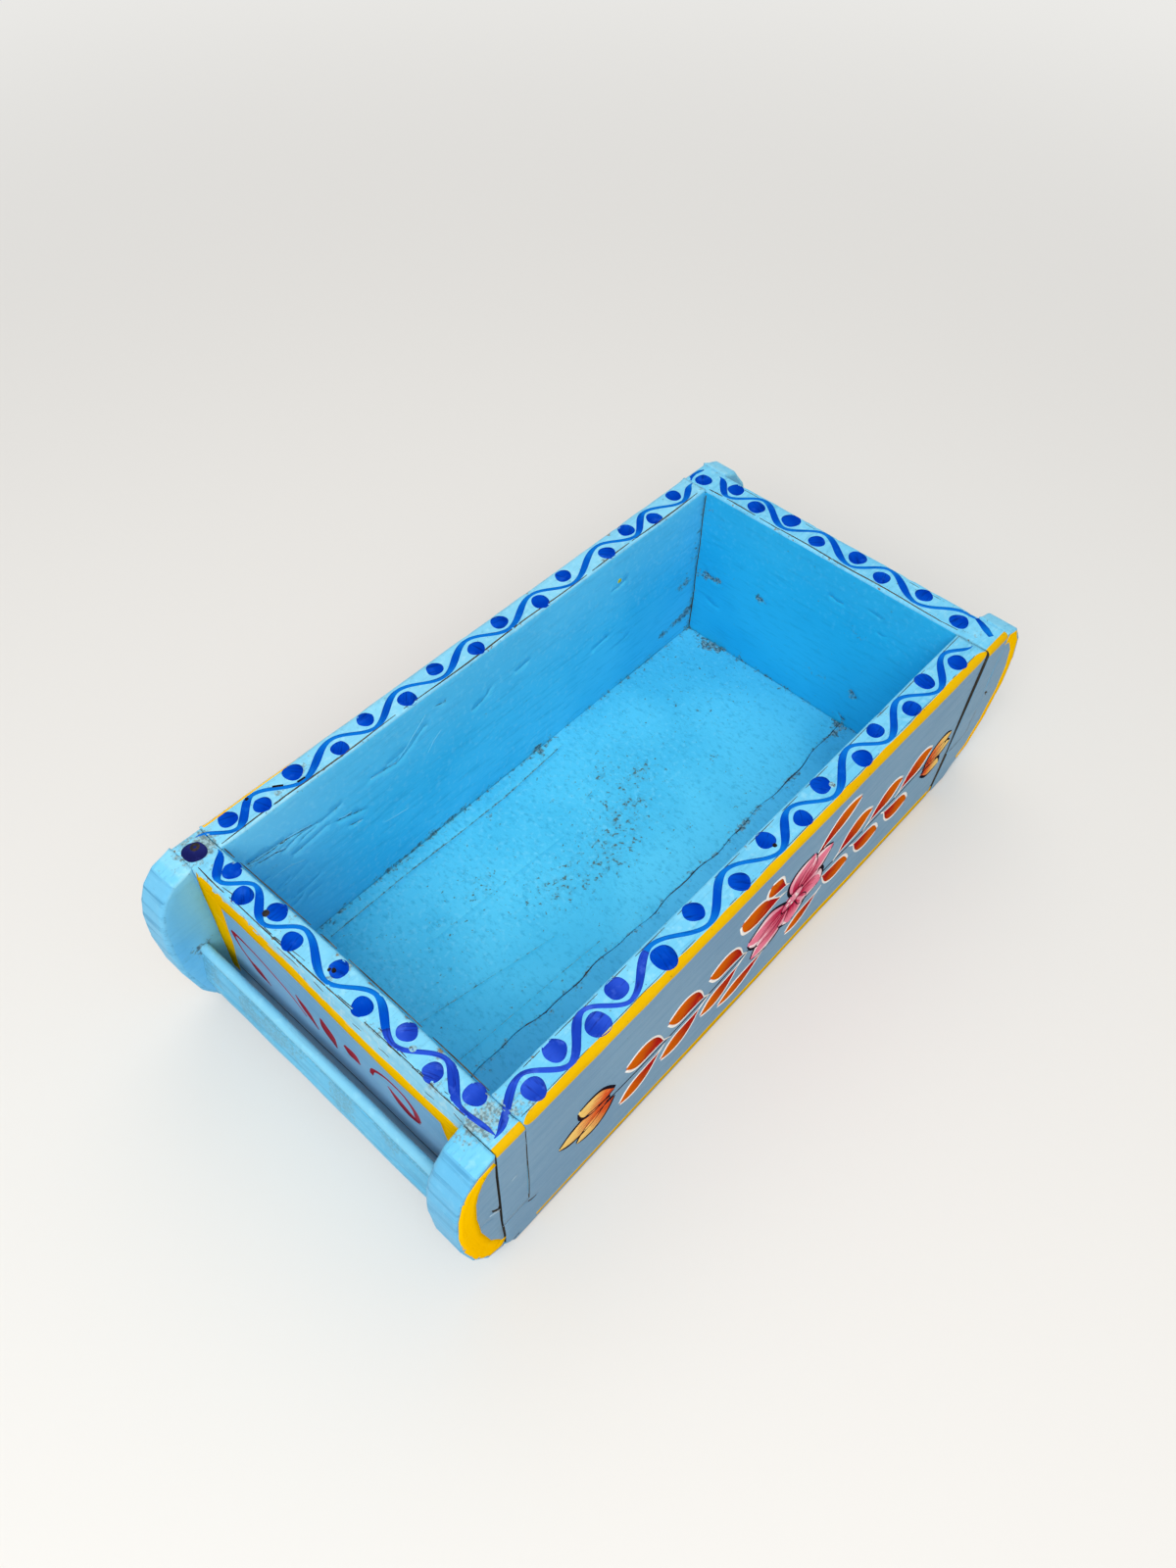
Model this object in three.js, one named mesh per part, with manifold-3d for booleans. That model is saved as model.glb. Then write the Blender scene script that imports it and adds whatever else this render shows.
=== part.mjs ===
import * as THREE from 'three';
import { mergeVertices } from 'three/addons/utils/BufferGeometryUtils.js';
import Module from 'manifold-3d';

// Painted wooden box of the brick-mould kind: two long side boards run past the end boards as
// rounded ears, the end boards drop into slots in the side boards, and a handle bar joins each
// pair of ears. Millimetres, +Z up, near end towards -X, left side towards +Y, underside at Z 0.

// Inside of the box
const innerLength = 240;
const innerWidth = 118;
const boxHeight = 83;

// Boards
const leftSideThickness = 11.5;
const rightSideThickness = 13;
const nearEndThickness = 10.8;
const farEndThickness = 13;
const floorThickness = 5.8;
const floorStripWidth = 34.5;

// Joints: the end boards' arms lie in slots that are open at the rim
const slotFloorHeight = 25;
const fitGap = 0.3;

// Ears: how far they pass the end board, the height of their fullest point, the height where the
// curve starts above the underside, the run of the cut corner below it, and the upper curve's power
const nearEar = { reach: 17.2, fullHeight: 52, footHeight: 5.5, footRun: 4, power: 2.4 };
const farEar = { reach: 21.5, fullHeight: 40, footHeight: 4, footRun: 4, power: 2 };
const lowerEarPower = 2;
const earSteps = 9;

// Handle bars: upright slats, thin at the edges and bellied outwards, housed in the ears
const barGap = 4.6;
const barBottomHeight = 13;
const barTopHeight = 45;
const barEdgeThickness = 3.4;
const barBellyThickness = 5.4;
const barHousingDepth = 4;
const barCurveSteps = 6;

// Hand-planed bevel along the outer rim of the near end board
const rimBevelRun = 2.4;
const rimBevelDrop = 7;

// Nails
const nailGap = 0.3;
const nailSides = 10;
const headSink = 0.4;
const headFlatShare = 0.8;
const headEdgeShare = 0.65;
const cornerNail = { length: 68, shank: 1.3, head: 2.6, headThickness: 1.2, point: 5 };
const rimTack = { length: 16, shank: 0.8, head: 1.6, headThickness: 0.8, point: 3 };
const floorNail = { length: 28, shank: 0.8, head: 1.5, headThickness: 0.8, point: 3 };
const floorNailInset = 30;
const endNailSpacing = 50;
const nearTackLeftY = 30;
const nearTackRightY = -34;
const rightTackX = 30.6;

// Derived places, measured from the middle of the inside
const halfLength = innerLength / 2;
const halfWidth = innerWidth / 2;
const leftFace = halfWidth + leftSideThickness;
const rightFace = halfWidth + rightSideThickness;
const nearReach = nearEndThickness + nearEar.reach;
const farReach = farEndThickness + farEar.reach;
const floorNailHeight = floorThickness / 2;
const stripEdgeY = -halfWidth + fitGap + floorStripWidth;
const plankEdgeY = stripEdgeY + fitGap;
const plankWidth = halfWidth - fitGap - plankEdgeY;
const plankMiddleY = plankEdgeY + plankWidth / 2;

// Finishes
const skyPaint = { color: '#4fabd9', roughness: 0.6, metalness: 0 };
const dustyPaint = { color: '#7fa0b8', roughness: 0.65, metalness: 0 };
const palePaint = { color: '#6cc6ea', roughness: 0.6, metalness: 0 };
const darkIron = { color: '#3a3433', roughness: 0.7, metalness: 0.8 };

// Solids for cutting
const kernel = await Module();
kernel.setup();

function solidFrom(geometry) {
  const bare = geometry.clone();
  bare.deleteAttribute('normal');
  bare.deleteAttribute('uv');
  const merged = mergeVertices(bare);
  return new kernel.Manifold(new kernel.Mesh({
    numProp: 3,
    vertProperties: new Float32Array(merged.attributes.position.array),
    triVerts: new Uint32Array(merged.index.array),
  }));
}

function geometryFrom(solid) {
  const mesh = solid.getMesh();
  const geometry = new THREE.BufferGeometry();
  geometry.setAttribute('position', new THREE.BufferAttribute(new Float32Array(mesh.vertProperties), 3));
  geometry.setIndex(new THREE.BufferAttribute(new Uint32Array(mesh.triVerts), 1));
  geometry.computeVertexNormals();
  return geometry;
}

function cut(geometry, cutters) {
  const solid = cutters.reduce((rest, cutter) => rest.subtract(solidFrom(cutter)), solidFrom(geometry));
  return geometryFrom(solid);
}

function piece(name, geometry, finish) {
  const mesh = new THREE.Mesh(geometry, new THREE.MeshStandardMaterial(finish));
  mesh.name = name;
  return mesh;
}

// An outline drawn in X and Z, given its thickness along +Y
function uprightPlate(shape, thickness, curveSteps = 1) {
  const settings = { depth: thickness, bevelEnabled: false, curveSegments: curveSteps };
  const geometry = new THREE.ExtrudeGeometry(shape, settings);
  geometry.rotateX(Math.PI / 2);
  geometry.translate(0, thickness, 0);
  return geometry;
}

function block(sizeX, sizeY, sizeZ) {
  return new THREE.BoxGeometry(sizeX, sizeY, sizeZ).translate(0, 0, sizeZ / 2);
}

// Side boards

// Points of an ear's edge from its foot up to the rim, as reach past the end board and height
function earEdge(ear) {
  const points = [];
  const quarter = (turn, drop, power) => new THREE.Vector2(
    ear.reach * Math.cos(turn) ** (2 / power),
    ear.fullHeight + drop * Math.sin(turn) ** (2 / power),
  );
  for (let step = earSteps; step > 0; step -= 1) {
    points.push(quarter((step / earSteps) * Math.PI / 2, ear.footHeight - ear.fullHeight, lowerEarPower));
  }
  for (let step = 0; step < earSteps; step += 1) {
    points.push(quarter((step / earSteps) * Math.PI / 2, boxHeight - ear.fullHeight, ear.power));
  }
  points.push(new THREE.Vector2(fitGap, boxHeight));
  return points;
}

// One end of a side board's outline, from the underside up round the ear and down and up the slot
function boardEnd(ear, endThickness) {
  const endFace = halfLength + endThickness;
  const edge = earEdge(ear).map((point) => new THREE.Vector2(endFace + point.x, point.y));
  const slotFloor = slotFloorHeight - fitGap;
  return [
    new THREE.Vector2(endFace - ear.footRun, 0),
    ...edge,
    new THREE.Vector2(endFace + fitGap, slotFloor),
    new THREE.Vector2(halfLength - fitGap, slotFloor),
    new THREE.Vector2(halfLength - fitGap, boxHeight),
  ];
}

function sideBoardShape() {
  const far = boardEnd(farEar, farEndThickness);
  const near = boardEnd(nearEar, nearEndThickness).map((point) => new THREE.Vector2(-point.x, point.y));
  return new THREE.Shape([...far, ...near.reverse()]);
}

// The housings that hold the two bar ends reach into the board's inner face, which is at Y 0 or at
// the board's full thickness
function barHousings(innerFaceY) {
  const height = barTopHeight - barBottomHeight;
  const housing = () => uprightPlate(barSection(height, fitGap), barHousingDepth * 2, barCurveSteps)
    .translate(0, innerFaceY - barHousingDepth, 0);
  const far = housing().translate(halfLength + farEndThickness + barGap, 0, barBottomHeight);
  const near = housing().translate(0, -innerFaceY, 0).rotateZ(Math.PI).translate(0, innerFaceY, 0)
    .translate(-halfLength - nearEndThickness - barGap, 0, barBottomHeight);
  return [far, near];
}

function sideBoard(name, thickness, innerFaceY) {
  const board = cut(uprightPlate(sideBoardShape(), thickness), barHousings(innerFaceY));
  return piece(name, board, dustyPaint);
}

// End boards, drawn with the inside face at X 0 and the outside towards +X

function endBoard(name, thickness, plusYFace, minusYFace, cutters) {
  const waist = halfWidth - fitGap;
  const shape = new THREE.Shape([
    new THREE.Vector2(-waist, 0),
    new THREE.Vector2(waist, 0),
    new THREE.Vector2(waist, slotFloorHeight),
    new THREE.Vector2(plusYFace, slotFloorHeight),
    new THREE.Vector2(plusYFace, boxHeight),
    new THREE.Vector2(-minusYFace, boxHeight),
    new THREE.Vector2(-minusYFace, slotFloorHeight),
    new THREE.Vector2(-waist, slotFloorHeight),
  ]);
  const board = uprightPlate(shape, thickness).rotateZ(Math.PI / 2).translate(thickness, 0, 0);
  return piece(name, cutters.length ? cut(board, cutters) : board, skyPaint);
}

// The wedge planed off the outer rim between the ears
function rimBevel(thickness) {
  const shape = new THREE.Shape([
    new THREE.Vector2(thickness - rimBevelRun, boxHeight),
    new THREE.Vector2(thickness, boxHeight - rimBevelDrop),
    new THREE.Vector2(thickness + rimBevelRun, boxHeight - rimBevelDrop),
    new THREE.Vector2(thickness + rimBevelRun, boxHeight + rimBevelRun),
    new THREE.Vector2(thickness - rimBevelRun, boxHeight + rimBevelRun),
  ]);
  return uprightPlate(shape, innerWidth).translate(0, -halfWidth, 0);
}

// Handle bars

// A slat's section with its straight face at X 0, grown all round by the gap of its housing
function barSection(height, grow) {
  const edge = barEdgeThickness + 2 * grow;
  const belly = barBellyThickness + 2 * grow;
  const round = edge / 2;
  const low = round - grow;
  const high = height + grow - round;
  const shape = new THREE.Shape();
  shape.moveTo(-grow, low);
  shape.lineTo(-grow, high);
  shape.absarc(round - grow, high, round, Math.PI, 0, true);
  shape.quadraticCurveTo(2 * belly - edge - grow, height / 2, edge - grow, low);
  shape.absarc(round - grow, low, round, 0, Math.PI, true);
  return shape;
}

function handleBar(name, outward) {
  const height = barTopHeight - barBottomHeight;
  const length = innerWidth + 2 * (barHousingDepth - fitGap);
  const bar = uprightPlate(barSection(height, 0), length, barCurveSteps).translate(0, -length / 2, 0);
  const mesh = piece(name, bar, palePaint);
  mesh.position.set(outward + barGap, 0, barBottomHeight);
  return mesh;
}

// An end board and its handle bar, built facing +X and turned to face its own end
function boxEnd(end, thickness, turn, plusYFace, minusYFace, cutters) {
  const group = new THREE.Group();
  group.add(endBoard(`end_board_${end}`, thickness, plusYFace, minusYFace, cutters));
  group.add(handleBar(`handle_bar_${end}`, thickness));
  group.rotation.z = turn;
  group.position.x = halfLength * Math.cos(turn);
  return group;
}

// Floor

function floorBoards() {
  const length = innerLength - 2 * fitGap;
  const plank = piece('floor_plank', block(length, plankWidth, floorThickness), skyPaint);
  plank.position.y = plankMiddleY;
  const strip = piece('floor_strip', block(length, floorStripWidth, floorThickness), skyPaint);
  strip.position.y = stripEdgeY - floorStripWidth / 2;
  return [plank, strip];
}

// Nails

function nailProfile(nail) {
  return [
    new THREE.Vector2(0, -nail.length),
    new THREE.Vector2(nail.shank, nail.point - nail.length),
    new THREE.Vector2(nail.shank, -nail.headThickness),
    new THREE.Vector2(nail.head, -nail.headThickness),
    new THREE.Vector2(nail.head, nail.headThickness * (headEdgeShare - 1)),
    new THREE.Vector2(nail.head * headFlatShare, 0),
    new THREE.Vector2(0, 0),
  ];
}

// The hole that a nail sits in, open above its head
function boreProfile(nail) {
  return [
    new THREE.Vector2(0, -nail.length - nailGap),
    new THREE.Vector2(nail.shank + nailGap, nail.point - nail.length),
    new THREE.Vector2(nail.shank + nailGap, -nail.headThickness - nailGap),
    new THREE.Vector2(nail.head + nailGap, -nail.headThickness - nailGap),
    new THREE.Vector2(nail.head + nailGap, nail.head),
    new THREE.Vector2(0, nail.head),
  ];
}

// A nail driven along its direction from a place on a board's face, with the names of its boards
function drivenNail(name, nail, face, direction, boards) {
  const mesh = piece(name, new THREE.LatheGeometry(nailProfile(nail), nailSides), darkIron);
  mesh.position.copy(face).addScaledVector(direction, headSink);
  mesh.quaternion.setFromUnitVectors(new THREE.Vector3(0, -1, 0), direction);
  mesh.updateMatrix();
  const bore = new THREE.LatheGeometry(boreProfile(nail), nailSides).applyMatrix4(mesh.matrix);
  return { mesh, bore, boards };
}

const down = new THREE.Vector3(0, 0, -1);
const ends = [
  { name: 'near', sign: -1, thickness: nearEndThickness },
  { name: 'far', sign: 1, thickness: farEndThickness },
];
const sides = [
  { name: 'left', sign: 1, thickness: leftSideThickness, face: leftFace, floorBoard: 'floor_plank' },
  { name: 'right', sign: -1, thickness: rightSideThickness, face: rightFace, floorBoard: 'floor_strip' },
];

// Long nails driven down through each arm into the side board under it
function cornerNails() {
  return ends.flatMap((end) => sides.map((side) => {
    const face = new THREE.Vector3(
      end.sign * (halfLength + end.thickness / 2),
      side.sign * (halfWidth + side.thickness / 2),
      boxHeight,
    );
    const boards = [`end_board_${end.name}`, `side_board_${side.name}`];
    return drivenNail(`corner_nail_${end.name}_${side.name}`, cornerNail, face, down, boards);
  }));
}

// Tacks left in the rim
function rimTacks() {
  const nearX = -halfLength - nearEndThickness / 2;
  const rightY = -halfWidth - rightSideThickness / 2;
  const place = (x, y) => new THREE.Vector3(x, y, boxHeight);
  return [
    drivenNail('rim_tack_near_left', rimTack, place(nearX, nearTackLeftY), down, ['end_board_near']),
    drivenNail('rim_tack_near_right', rimTack, place(nearX, nearTackRightY), down, ['end_board_near']),
    drivenNail('rim_tack_right', rimTack, place(rightTackX, rightY), down, ['side_board_right']),
  ];
}

// Nails through the foot of the walls into the edges of the floor
function floorNails() {
  const alongSides = sides.flatMap((side) => [-1, 0, 1].map((step) => {
    const along = step * (halfLength - floorNailInset);
    const face = new THREE.Vector3(along, side.sign * side.face, floorNailHeight);
    const inward = new THREE.Vector3(0, -side.sign, 0);
    const boards = [`side_board_${side.name}`, side.floorBoard];
    return drivenNail(`floor_nail_${side.name}_${step + 2}`, floorNail, face, inward, boards);
  }));
  const alongEnds = ends.flatMap((end) => [1, 2].map((number) => {
    const across = plankMiddleY + (number - 1.5) * endNailSpacing;
    const face = new THREE.Vector3(end.sign * (halfLength + end.thickness), across, floorNailHeight);
    const inward = new THREE.Vector3(-end.sign, 0, 0);
    const boards = [`end_board_${end.name}`, 'floor_plank'];
    return drivenNail(`floor_nail_${end.name}_${number}`, floorNail, face, inward, boards);
  }));
  return [...alongSides, ...alongEnds];
}

// Opens each nail's hole in the boards that it is driven through
function drill(boxParts, nails) {
  boxParts.updateMatrixWorld(true);
  boxParts.traverse((part) => {
    const bores = nails.filter((nail) => nail.boards.includes(part.name)).map((nail) => nail.bore);
    if (bores.length === 0) return;
    const toPart = part.matrixWorld.clone().invert();
    part.geometry = cut(part.geometry, bores.map((bore) => bore.clone().applyMatrix4(toPart)));
  });
}

// Assembly

const walls = new THREE.Group();
const leftBoard = sideBoard('side_board_left', leftSideThickness, 0);
leftBoard.position.y = halfWidth;
const rightBoard = sideBoard('side_board_right', rightSideThickness, rightSideThickness);
rightBoard.position.y = -rightFace;
walls.add(leftBoard, rightBoard);
walls.add(boxEnd('near', nearEndThickness, Math.PI, rightFace, leftFace, [rimBevel(nearEndThickness)]));
walls.add(boxEnd('far', farEndThickness, 0, leftFace, rightFace, []));

const boxParts = new THREE.Group();
boxParts.add(walls, ...floorBoards());
const nails = [...cornerNails(), ...rimTacks(), ...floorNails()];
drill(boxParts, nails);
boxParts.add(...nails.map((nail) => nail.mesh));

// The origin is under the middle of the whole box
boxParts.position.set((nearReach - farReach) / 2, (rightSideThickness - leftSideThickness) / 2, 0);

const box = new THREE.Group();
box.add(boxParts);

export default box;
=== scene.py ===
import math
import random

import bmesh
import bpy
import numpy as np
from mathutils import Matrix, Vector, noise
from mathutils.bvhtree import BVHTree
from mathutils.geometry import delaunay_2d_cdt


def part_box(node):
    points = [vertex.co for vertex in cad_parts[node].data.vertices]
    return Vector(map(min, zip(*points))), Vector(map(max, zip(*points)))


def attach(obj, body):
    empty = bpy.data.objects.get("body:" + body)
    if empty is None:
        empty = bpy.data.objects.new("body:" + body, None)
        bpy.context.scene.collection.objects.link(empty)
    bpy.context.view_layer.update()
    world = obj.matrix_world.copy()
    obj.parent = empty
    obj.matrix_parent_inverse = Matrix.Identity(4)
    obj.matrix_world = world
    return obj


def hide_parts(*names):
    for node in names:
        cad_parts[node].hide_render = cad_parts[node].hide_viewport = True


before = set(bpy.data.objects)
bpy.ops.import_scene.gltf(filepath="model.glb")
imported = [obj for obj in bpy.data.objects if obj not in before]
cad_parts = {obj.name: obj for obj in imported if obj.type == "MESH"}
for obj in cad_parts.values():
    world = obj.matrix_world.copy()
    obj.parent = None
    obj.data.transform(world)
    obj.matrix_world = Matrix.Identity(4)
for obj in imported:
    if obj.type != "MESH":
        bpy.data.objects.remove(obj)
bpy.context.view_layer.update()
random.seed(11)
print("frame:", len(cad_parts), "CAD pieces")

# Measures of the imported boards, in millimetres; the faces are measured from the middle of the inside
def nodeBox(name, origin=0):  # lowest and highest corner of a CAD piece
    low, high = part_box(name)
    return np.array(low) * 1000 - origin, np.array(high) * 1000 - origin

nearLow, nearHigh = nodeBox("end_board_near")
farLow, farHigh = nodeBox("end_board_far")
leftLow, leftHigh = nodeBox("side_board_left")
rightLow, rightHigh = nodeBox("side_board_right")
middle = np.array([(nearHigh[0] + farLow[0]) / 2, (leftLow[1] + rightHigh[1]) / 2, 0])
halfLength = (farLow[0] - nearHigh[0]) / 2
halfWidth = (leftLow[1] - rightHigh[1]) / 2
rimHeight = leftHigh[2]
floorTop = nodeBox("floor_plank")[1][2]
nearFace = nearLow[0] - middle[0]
farFace = farHigh[0] - middle[0]
leftFace = leftHigh[1] - middle[1]
rightFace = rightLow[1] - middle[1]
nearReach = nearFace - (leftLow[0] - middle[0])
farReach = (leftHigh[0] - middle[0]) - farFace

def toFrame(points):  # millimetres from the middle of the inside to metres in the CAD frame
    return (np.asarray(points, float) + middle) / 1000

def smooth(value):  # 0 below 0, 1 above 1, an S between
    value = np.clip(value, 0, 1)
    return value * value * (3 - 2 * value)

def unevenness(points, size, depth, seed):  # gentle lumps of a given size and depth, both in mm
    shift = Vector((17.3, 5.1, 9.7)) * seed
    return np.array([noise.noise(Vector(p) / size + shift) for p in points]) * depth

# Paints and other materials

def linear(hexColour):
    parts = [int(hexColour[k:k + 2], 16) / 255 for k in (1, 3, 5)]
    return [c / 12.92 if c <= 0.04045 else ((c + 0.055) / 1.055) ** 2.4 for c in parts] + [1.0]

def tonesOf(look):
    return [linear(tone) for tone in look["tones"].split()]

def addNode(tree, kind, settings=None, inputs=None, out=0):
    # inputs are values, or outputs to link from; gives back the output that is asked for
    node = tree.nodes.new(kind)
    for key, value in (settings or {}).items():
        setattr(node, key, value)
    for key, value in (inputs or {}).items():
        if isinstance(value, bpy.types.NodeSocket):
            tree.links.new(value, node.inputs[key])
        else:
            node.inputs[key].default_value = value
    return node.outputs[out] if node.outputs else None

def newTree(name):
    material = bpy.data.materials.new(name)
    material.use_nodes = True
    material.node_tree.nodes.clear()
    return material, material.node_tree

mixColour = {"data_type": "RGBA"}
softEdge = {"interpolation_type": "SMOOTHSTEP"}
scaledSum = {"operation": "MULTIPLY_ADD"}  # input 0 times input 1, and input 2 added
clampedSum = {"operation": "ADD", "use_clamp": True}
paintIndex = 1.48  # index of refraction of dry oil paint

def coat(tree, value, rise, most, under, over, more=None):
    # lays a colour over another as a value rises between two limits, and where more of it is asked for;
    # gives back the share that it covers, and the colour
    share = addNode(tree, "ShaderNodeMapRange", softEdge,
                    {"Value": value, "From Min": rise[0], "From Max": rise[1], "To Max": most})
    if more is not None:
        share = addNode(tree, "ShaderNodeMath", clampedSum, {0: share, 1: more})
    colour = addNode(tree, "ShaderNodeMix", mixColour, {"Factor": share, "A": under, "B": over}, "Result")
    return share, colour

def shade(tree, height, strength, distance, inputs):  # relief from a height, the shader and its output
    bump = addNode(tree, "ShaderNodeBump", None,
                   {"Height": height, "Strength": strength, "Distance": distance})
    shader = addNode(tree, "ShaderNodeBsdfPrincipled", None, {**inputs, "Normal": bump})
    addNode(tree, "ShaderNodeOutputMaterial", None, {0: shader})

def brushedPaint(look):
    # oil paint brushed on wood: cloudy cover, fine streaks along the brush, dirt in the corners and
    # chips down to the wood along the edges
    material, tree = newTree(look["name"])
    base, second, streakTone, pale = tonesOf(look)
    place = addNode(tree, "ShaderNodeTexCoord", out="Object")
    combed = addNode(tree, "ShaderNodeMapping", None, {"Vector": place, "Scale": look["brushRun"]})
    grains = {  # where it lies, size in mm, detail and roughness
        "cloud": (place, look["cloudSize"], 3, 0.5), "streak": (combed, look["streakSize"], 5, 0.62),
        "mottle": (place, look["mottleSize"], 4, 0.5), "patch": (place, look["patchSize"], 6, 0.7),
        "speck": (place, look["speckSize"], 5, 0.6), "grit": (place, look["gritSize"], 3, 0.5),
    }
    grain = {}
    for key, (lies, size, detail, rough) in grains.items():
        grain[key] = addNode(tree, "ShaderNodeTexNoise", None, {"Vector": lies, "Scale": 1000 / size,
                                                                "Detail": detail, "Roughness": rough})
    grime, speck, wear, faded = [addNode(tree, "ShaderNodeAttribute", {"attribute_name": name}, None, "Fac")
                                 for name in ("grime", "speck", "wear", "faded")]
    _, colour = coat(tree, grain["cloud"], look["secondRise"], 1, base, second)
    _, colour = coat(tree, grain["streak"], look["streakRise"], look["streakShare"], colour, streakTone)
    # pale mottling, more of it where the attribute for painted light is high; below zero it paints shade
    _, colour = coat(tree, grain["mottle"], look["paleRise"], look["paleShare"], colour, pale, faded)
    # what the other coats follow: a grain or attribute, with others added to it by their weights, so that
    # dirt, smudges, flecks and chips gather where the boards' attributes are high, broken up by the grains
    # the grime attribute also carries painted shade along each handle bar's crease
    follows = {
        "grime": (grime, ((grain["patch"], look["grimePatch"]), (grain["speck"], look["grimeSpeck"]))),
        "smudge": (grain["patch"], ((speck, look["smudgeReach"]),)),
        "fleck": (grain["speck"], ((speck, look["fleckReach"]), (grain["patch"], look["fleckPatch"]))),
        "chip": (grain["patch"], ((wear, look["wearReach"]),)),
    }
    for key, (value, added) in follows.items():
        for part, weight in added:
            value = addNode(tree, "ShaderNodeMath", scaledSum, {0: part, 1: weight, 2: value})
        follows[key] = value
    _, dirt = coat(tree, grain["grit"], look["gritRise"], 1, linear(look["grime"]), linear(look["grit"]))
    _, colour = coat(tree, follows["grime"], look["grimeRise"], look["grimeShare"], colour, dirt)
    share = {}
    for key in ("smudge", "fleck", "chip"):
        share[key], colour = coat(tree, follows[key], look[key + "Rise"], look[key + "Share"], colour,
                                  linear(look[key]))
    spread = look["roughSpread"]
    rough = addNode(tree, "ShaderNodeMapRange", None,
                    {"Value": grain["streak"], "From Min": 0.3, "From Max": 0.7,
                     "To Min": look["roughness"] - spread, "To Max": look["roughness"] + spread})
    # brush marks stand up, chips and flecks lie lower
    height = grain["streak"]
    for part, rise in ((grain["mottle"], look["mottleHeight"]), (share["chip"], look["chipHeight"]),
                       (share["fleck"], look["fleckHeight"])):
        height = addNode(tree, "ShaderNodeMath", scaledSum, {0: part, 1: rise, 2: height})
    shade(tree, height, look["bump"], 0.0003, {"Base Color": colour, "Roughness": rough, "IOR": paintIndex,
                                               "Specular IOR Level": look["gloss"]})
    return material

plainPaint = {
    # sizes of the grains in mm, and how the streaks are drawn out along the brush
    "cloudSize": 55, "streakSize": 1.6, "mottleSize": 2.2, "speckSize": 1.3, "patchSize": 3.2,
    "gritSize": 0.9, "brushRun": (0.07, 1, 1),
    # the most that each coat covers, and between which values it goes from nothing to that
    "streakShare": 0.35, "paleShare": 0.16, "grimeShare": 0.8, "smudgeShare": 0.55, "fleckShare": 0.85,
    "chipShare": 1, "secondRise": (0.36, 0.66), "streakRise": (0.48, 0.74), "paleRise": (0.5, 0.72),
    "gritRise": (0.44, 0.6), "grimeRise": (1.76, 2.12), "smudgeRise": (0.64, 0.95),
    "fleckRise": (0.965, 1.03), "chipRise": (0.8, 0.86),
    # how much the grains and attributes add to those values, and to the height
    "grimePatch": 1.7, "grimeSpeck": 1.1, "smudgeReach": 0.3, "fleckReach": 0.19, "fleckPatch": 0.45,
    "wearReach": 0.1, "mottleHeight": 0.35, "chipHeight": -0.9, "fleckHeight": -0.6,
    "grime": "#3b3626", "grit": "#7f9a9c", "smudge": "#4f93a6", "fleck": "#55614f", "chip": "#8b8069",
    "roughness": 0.5, "roughSpread": 0.07, "gloss": 0.25, "bump": 0.35,
}

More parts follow.
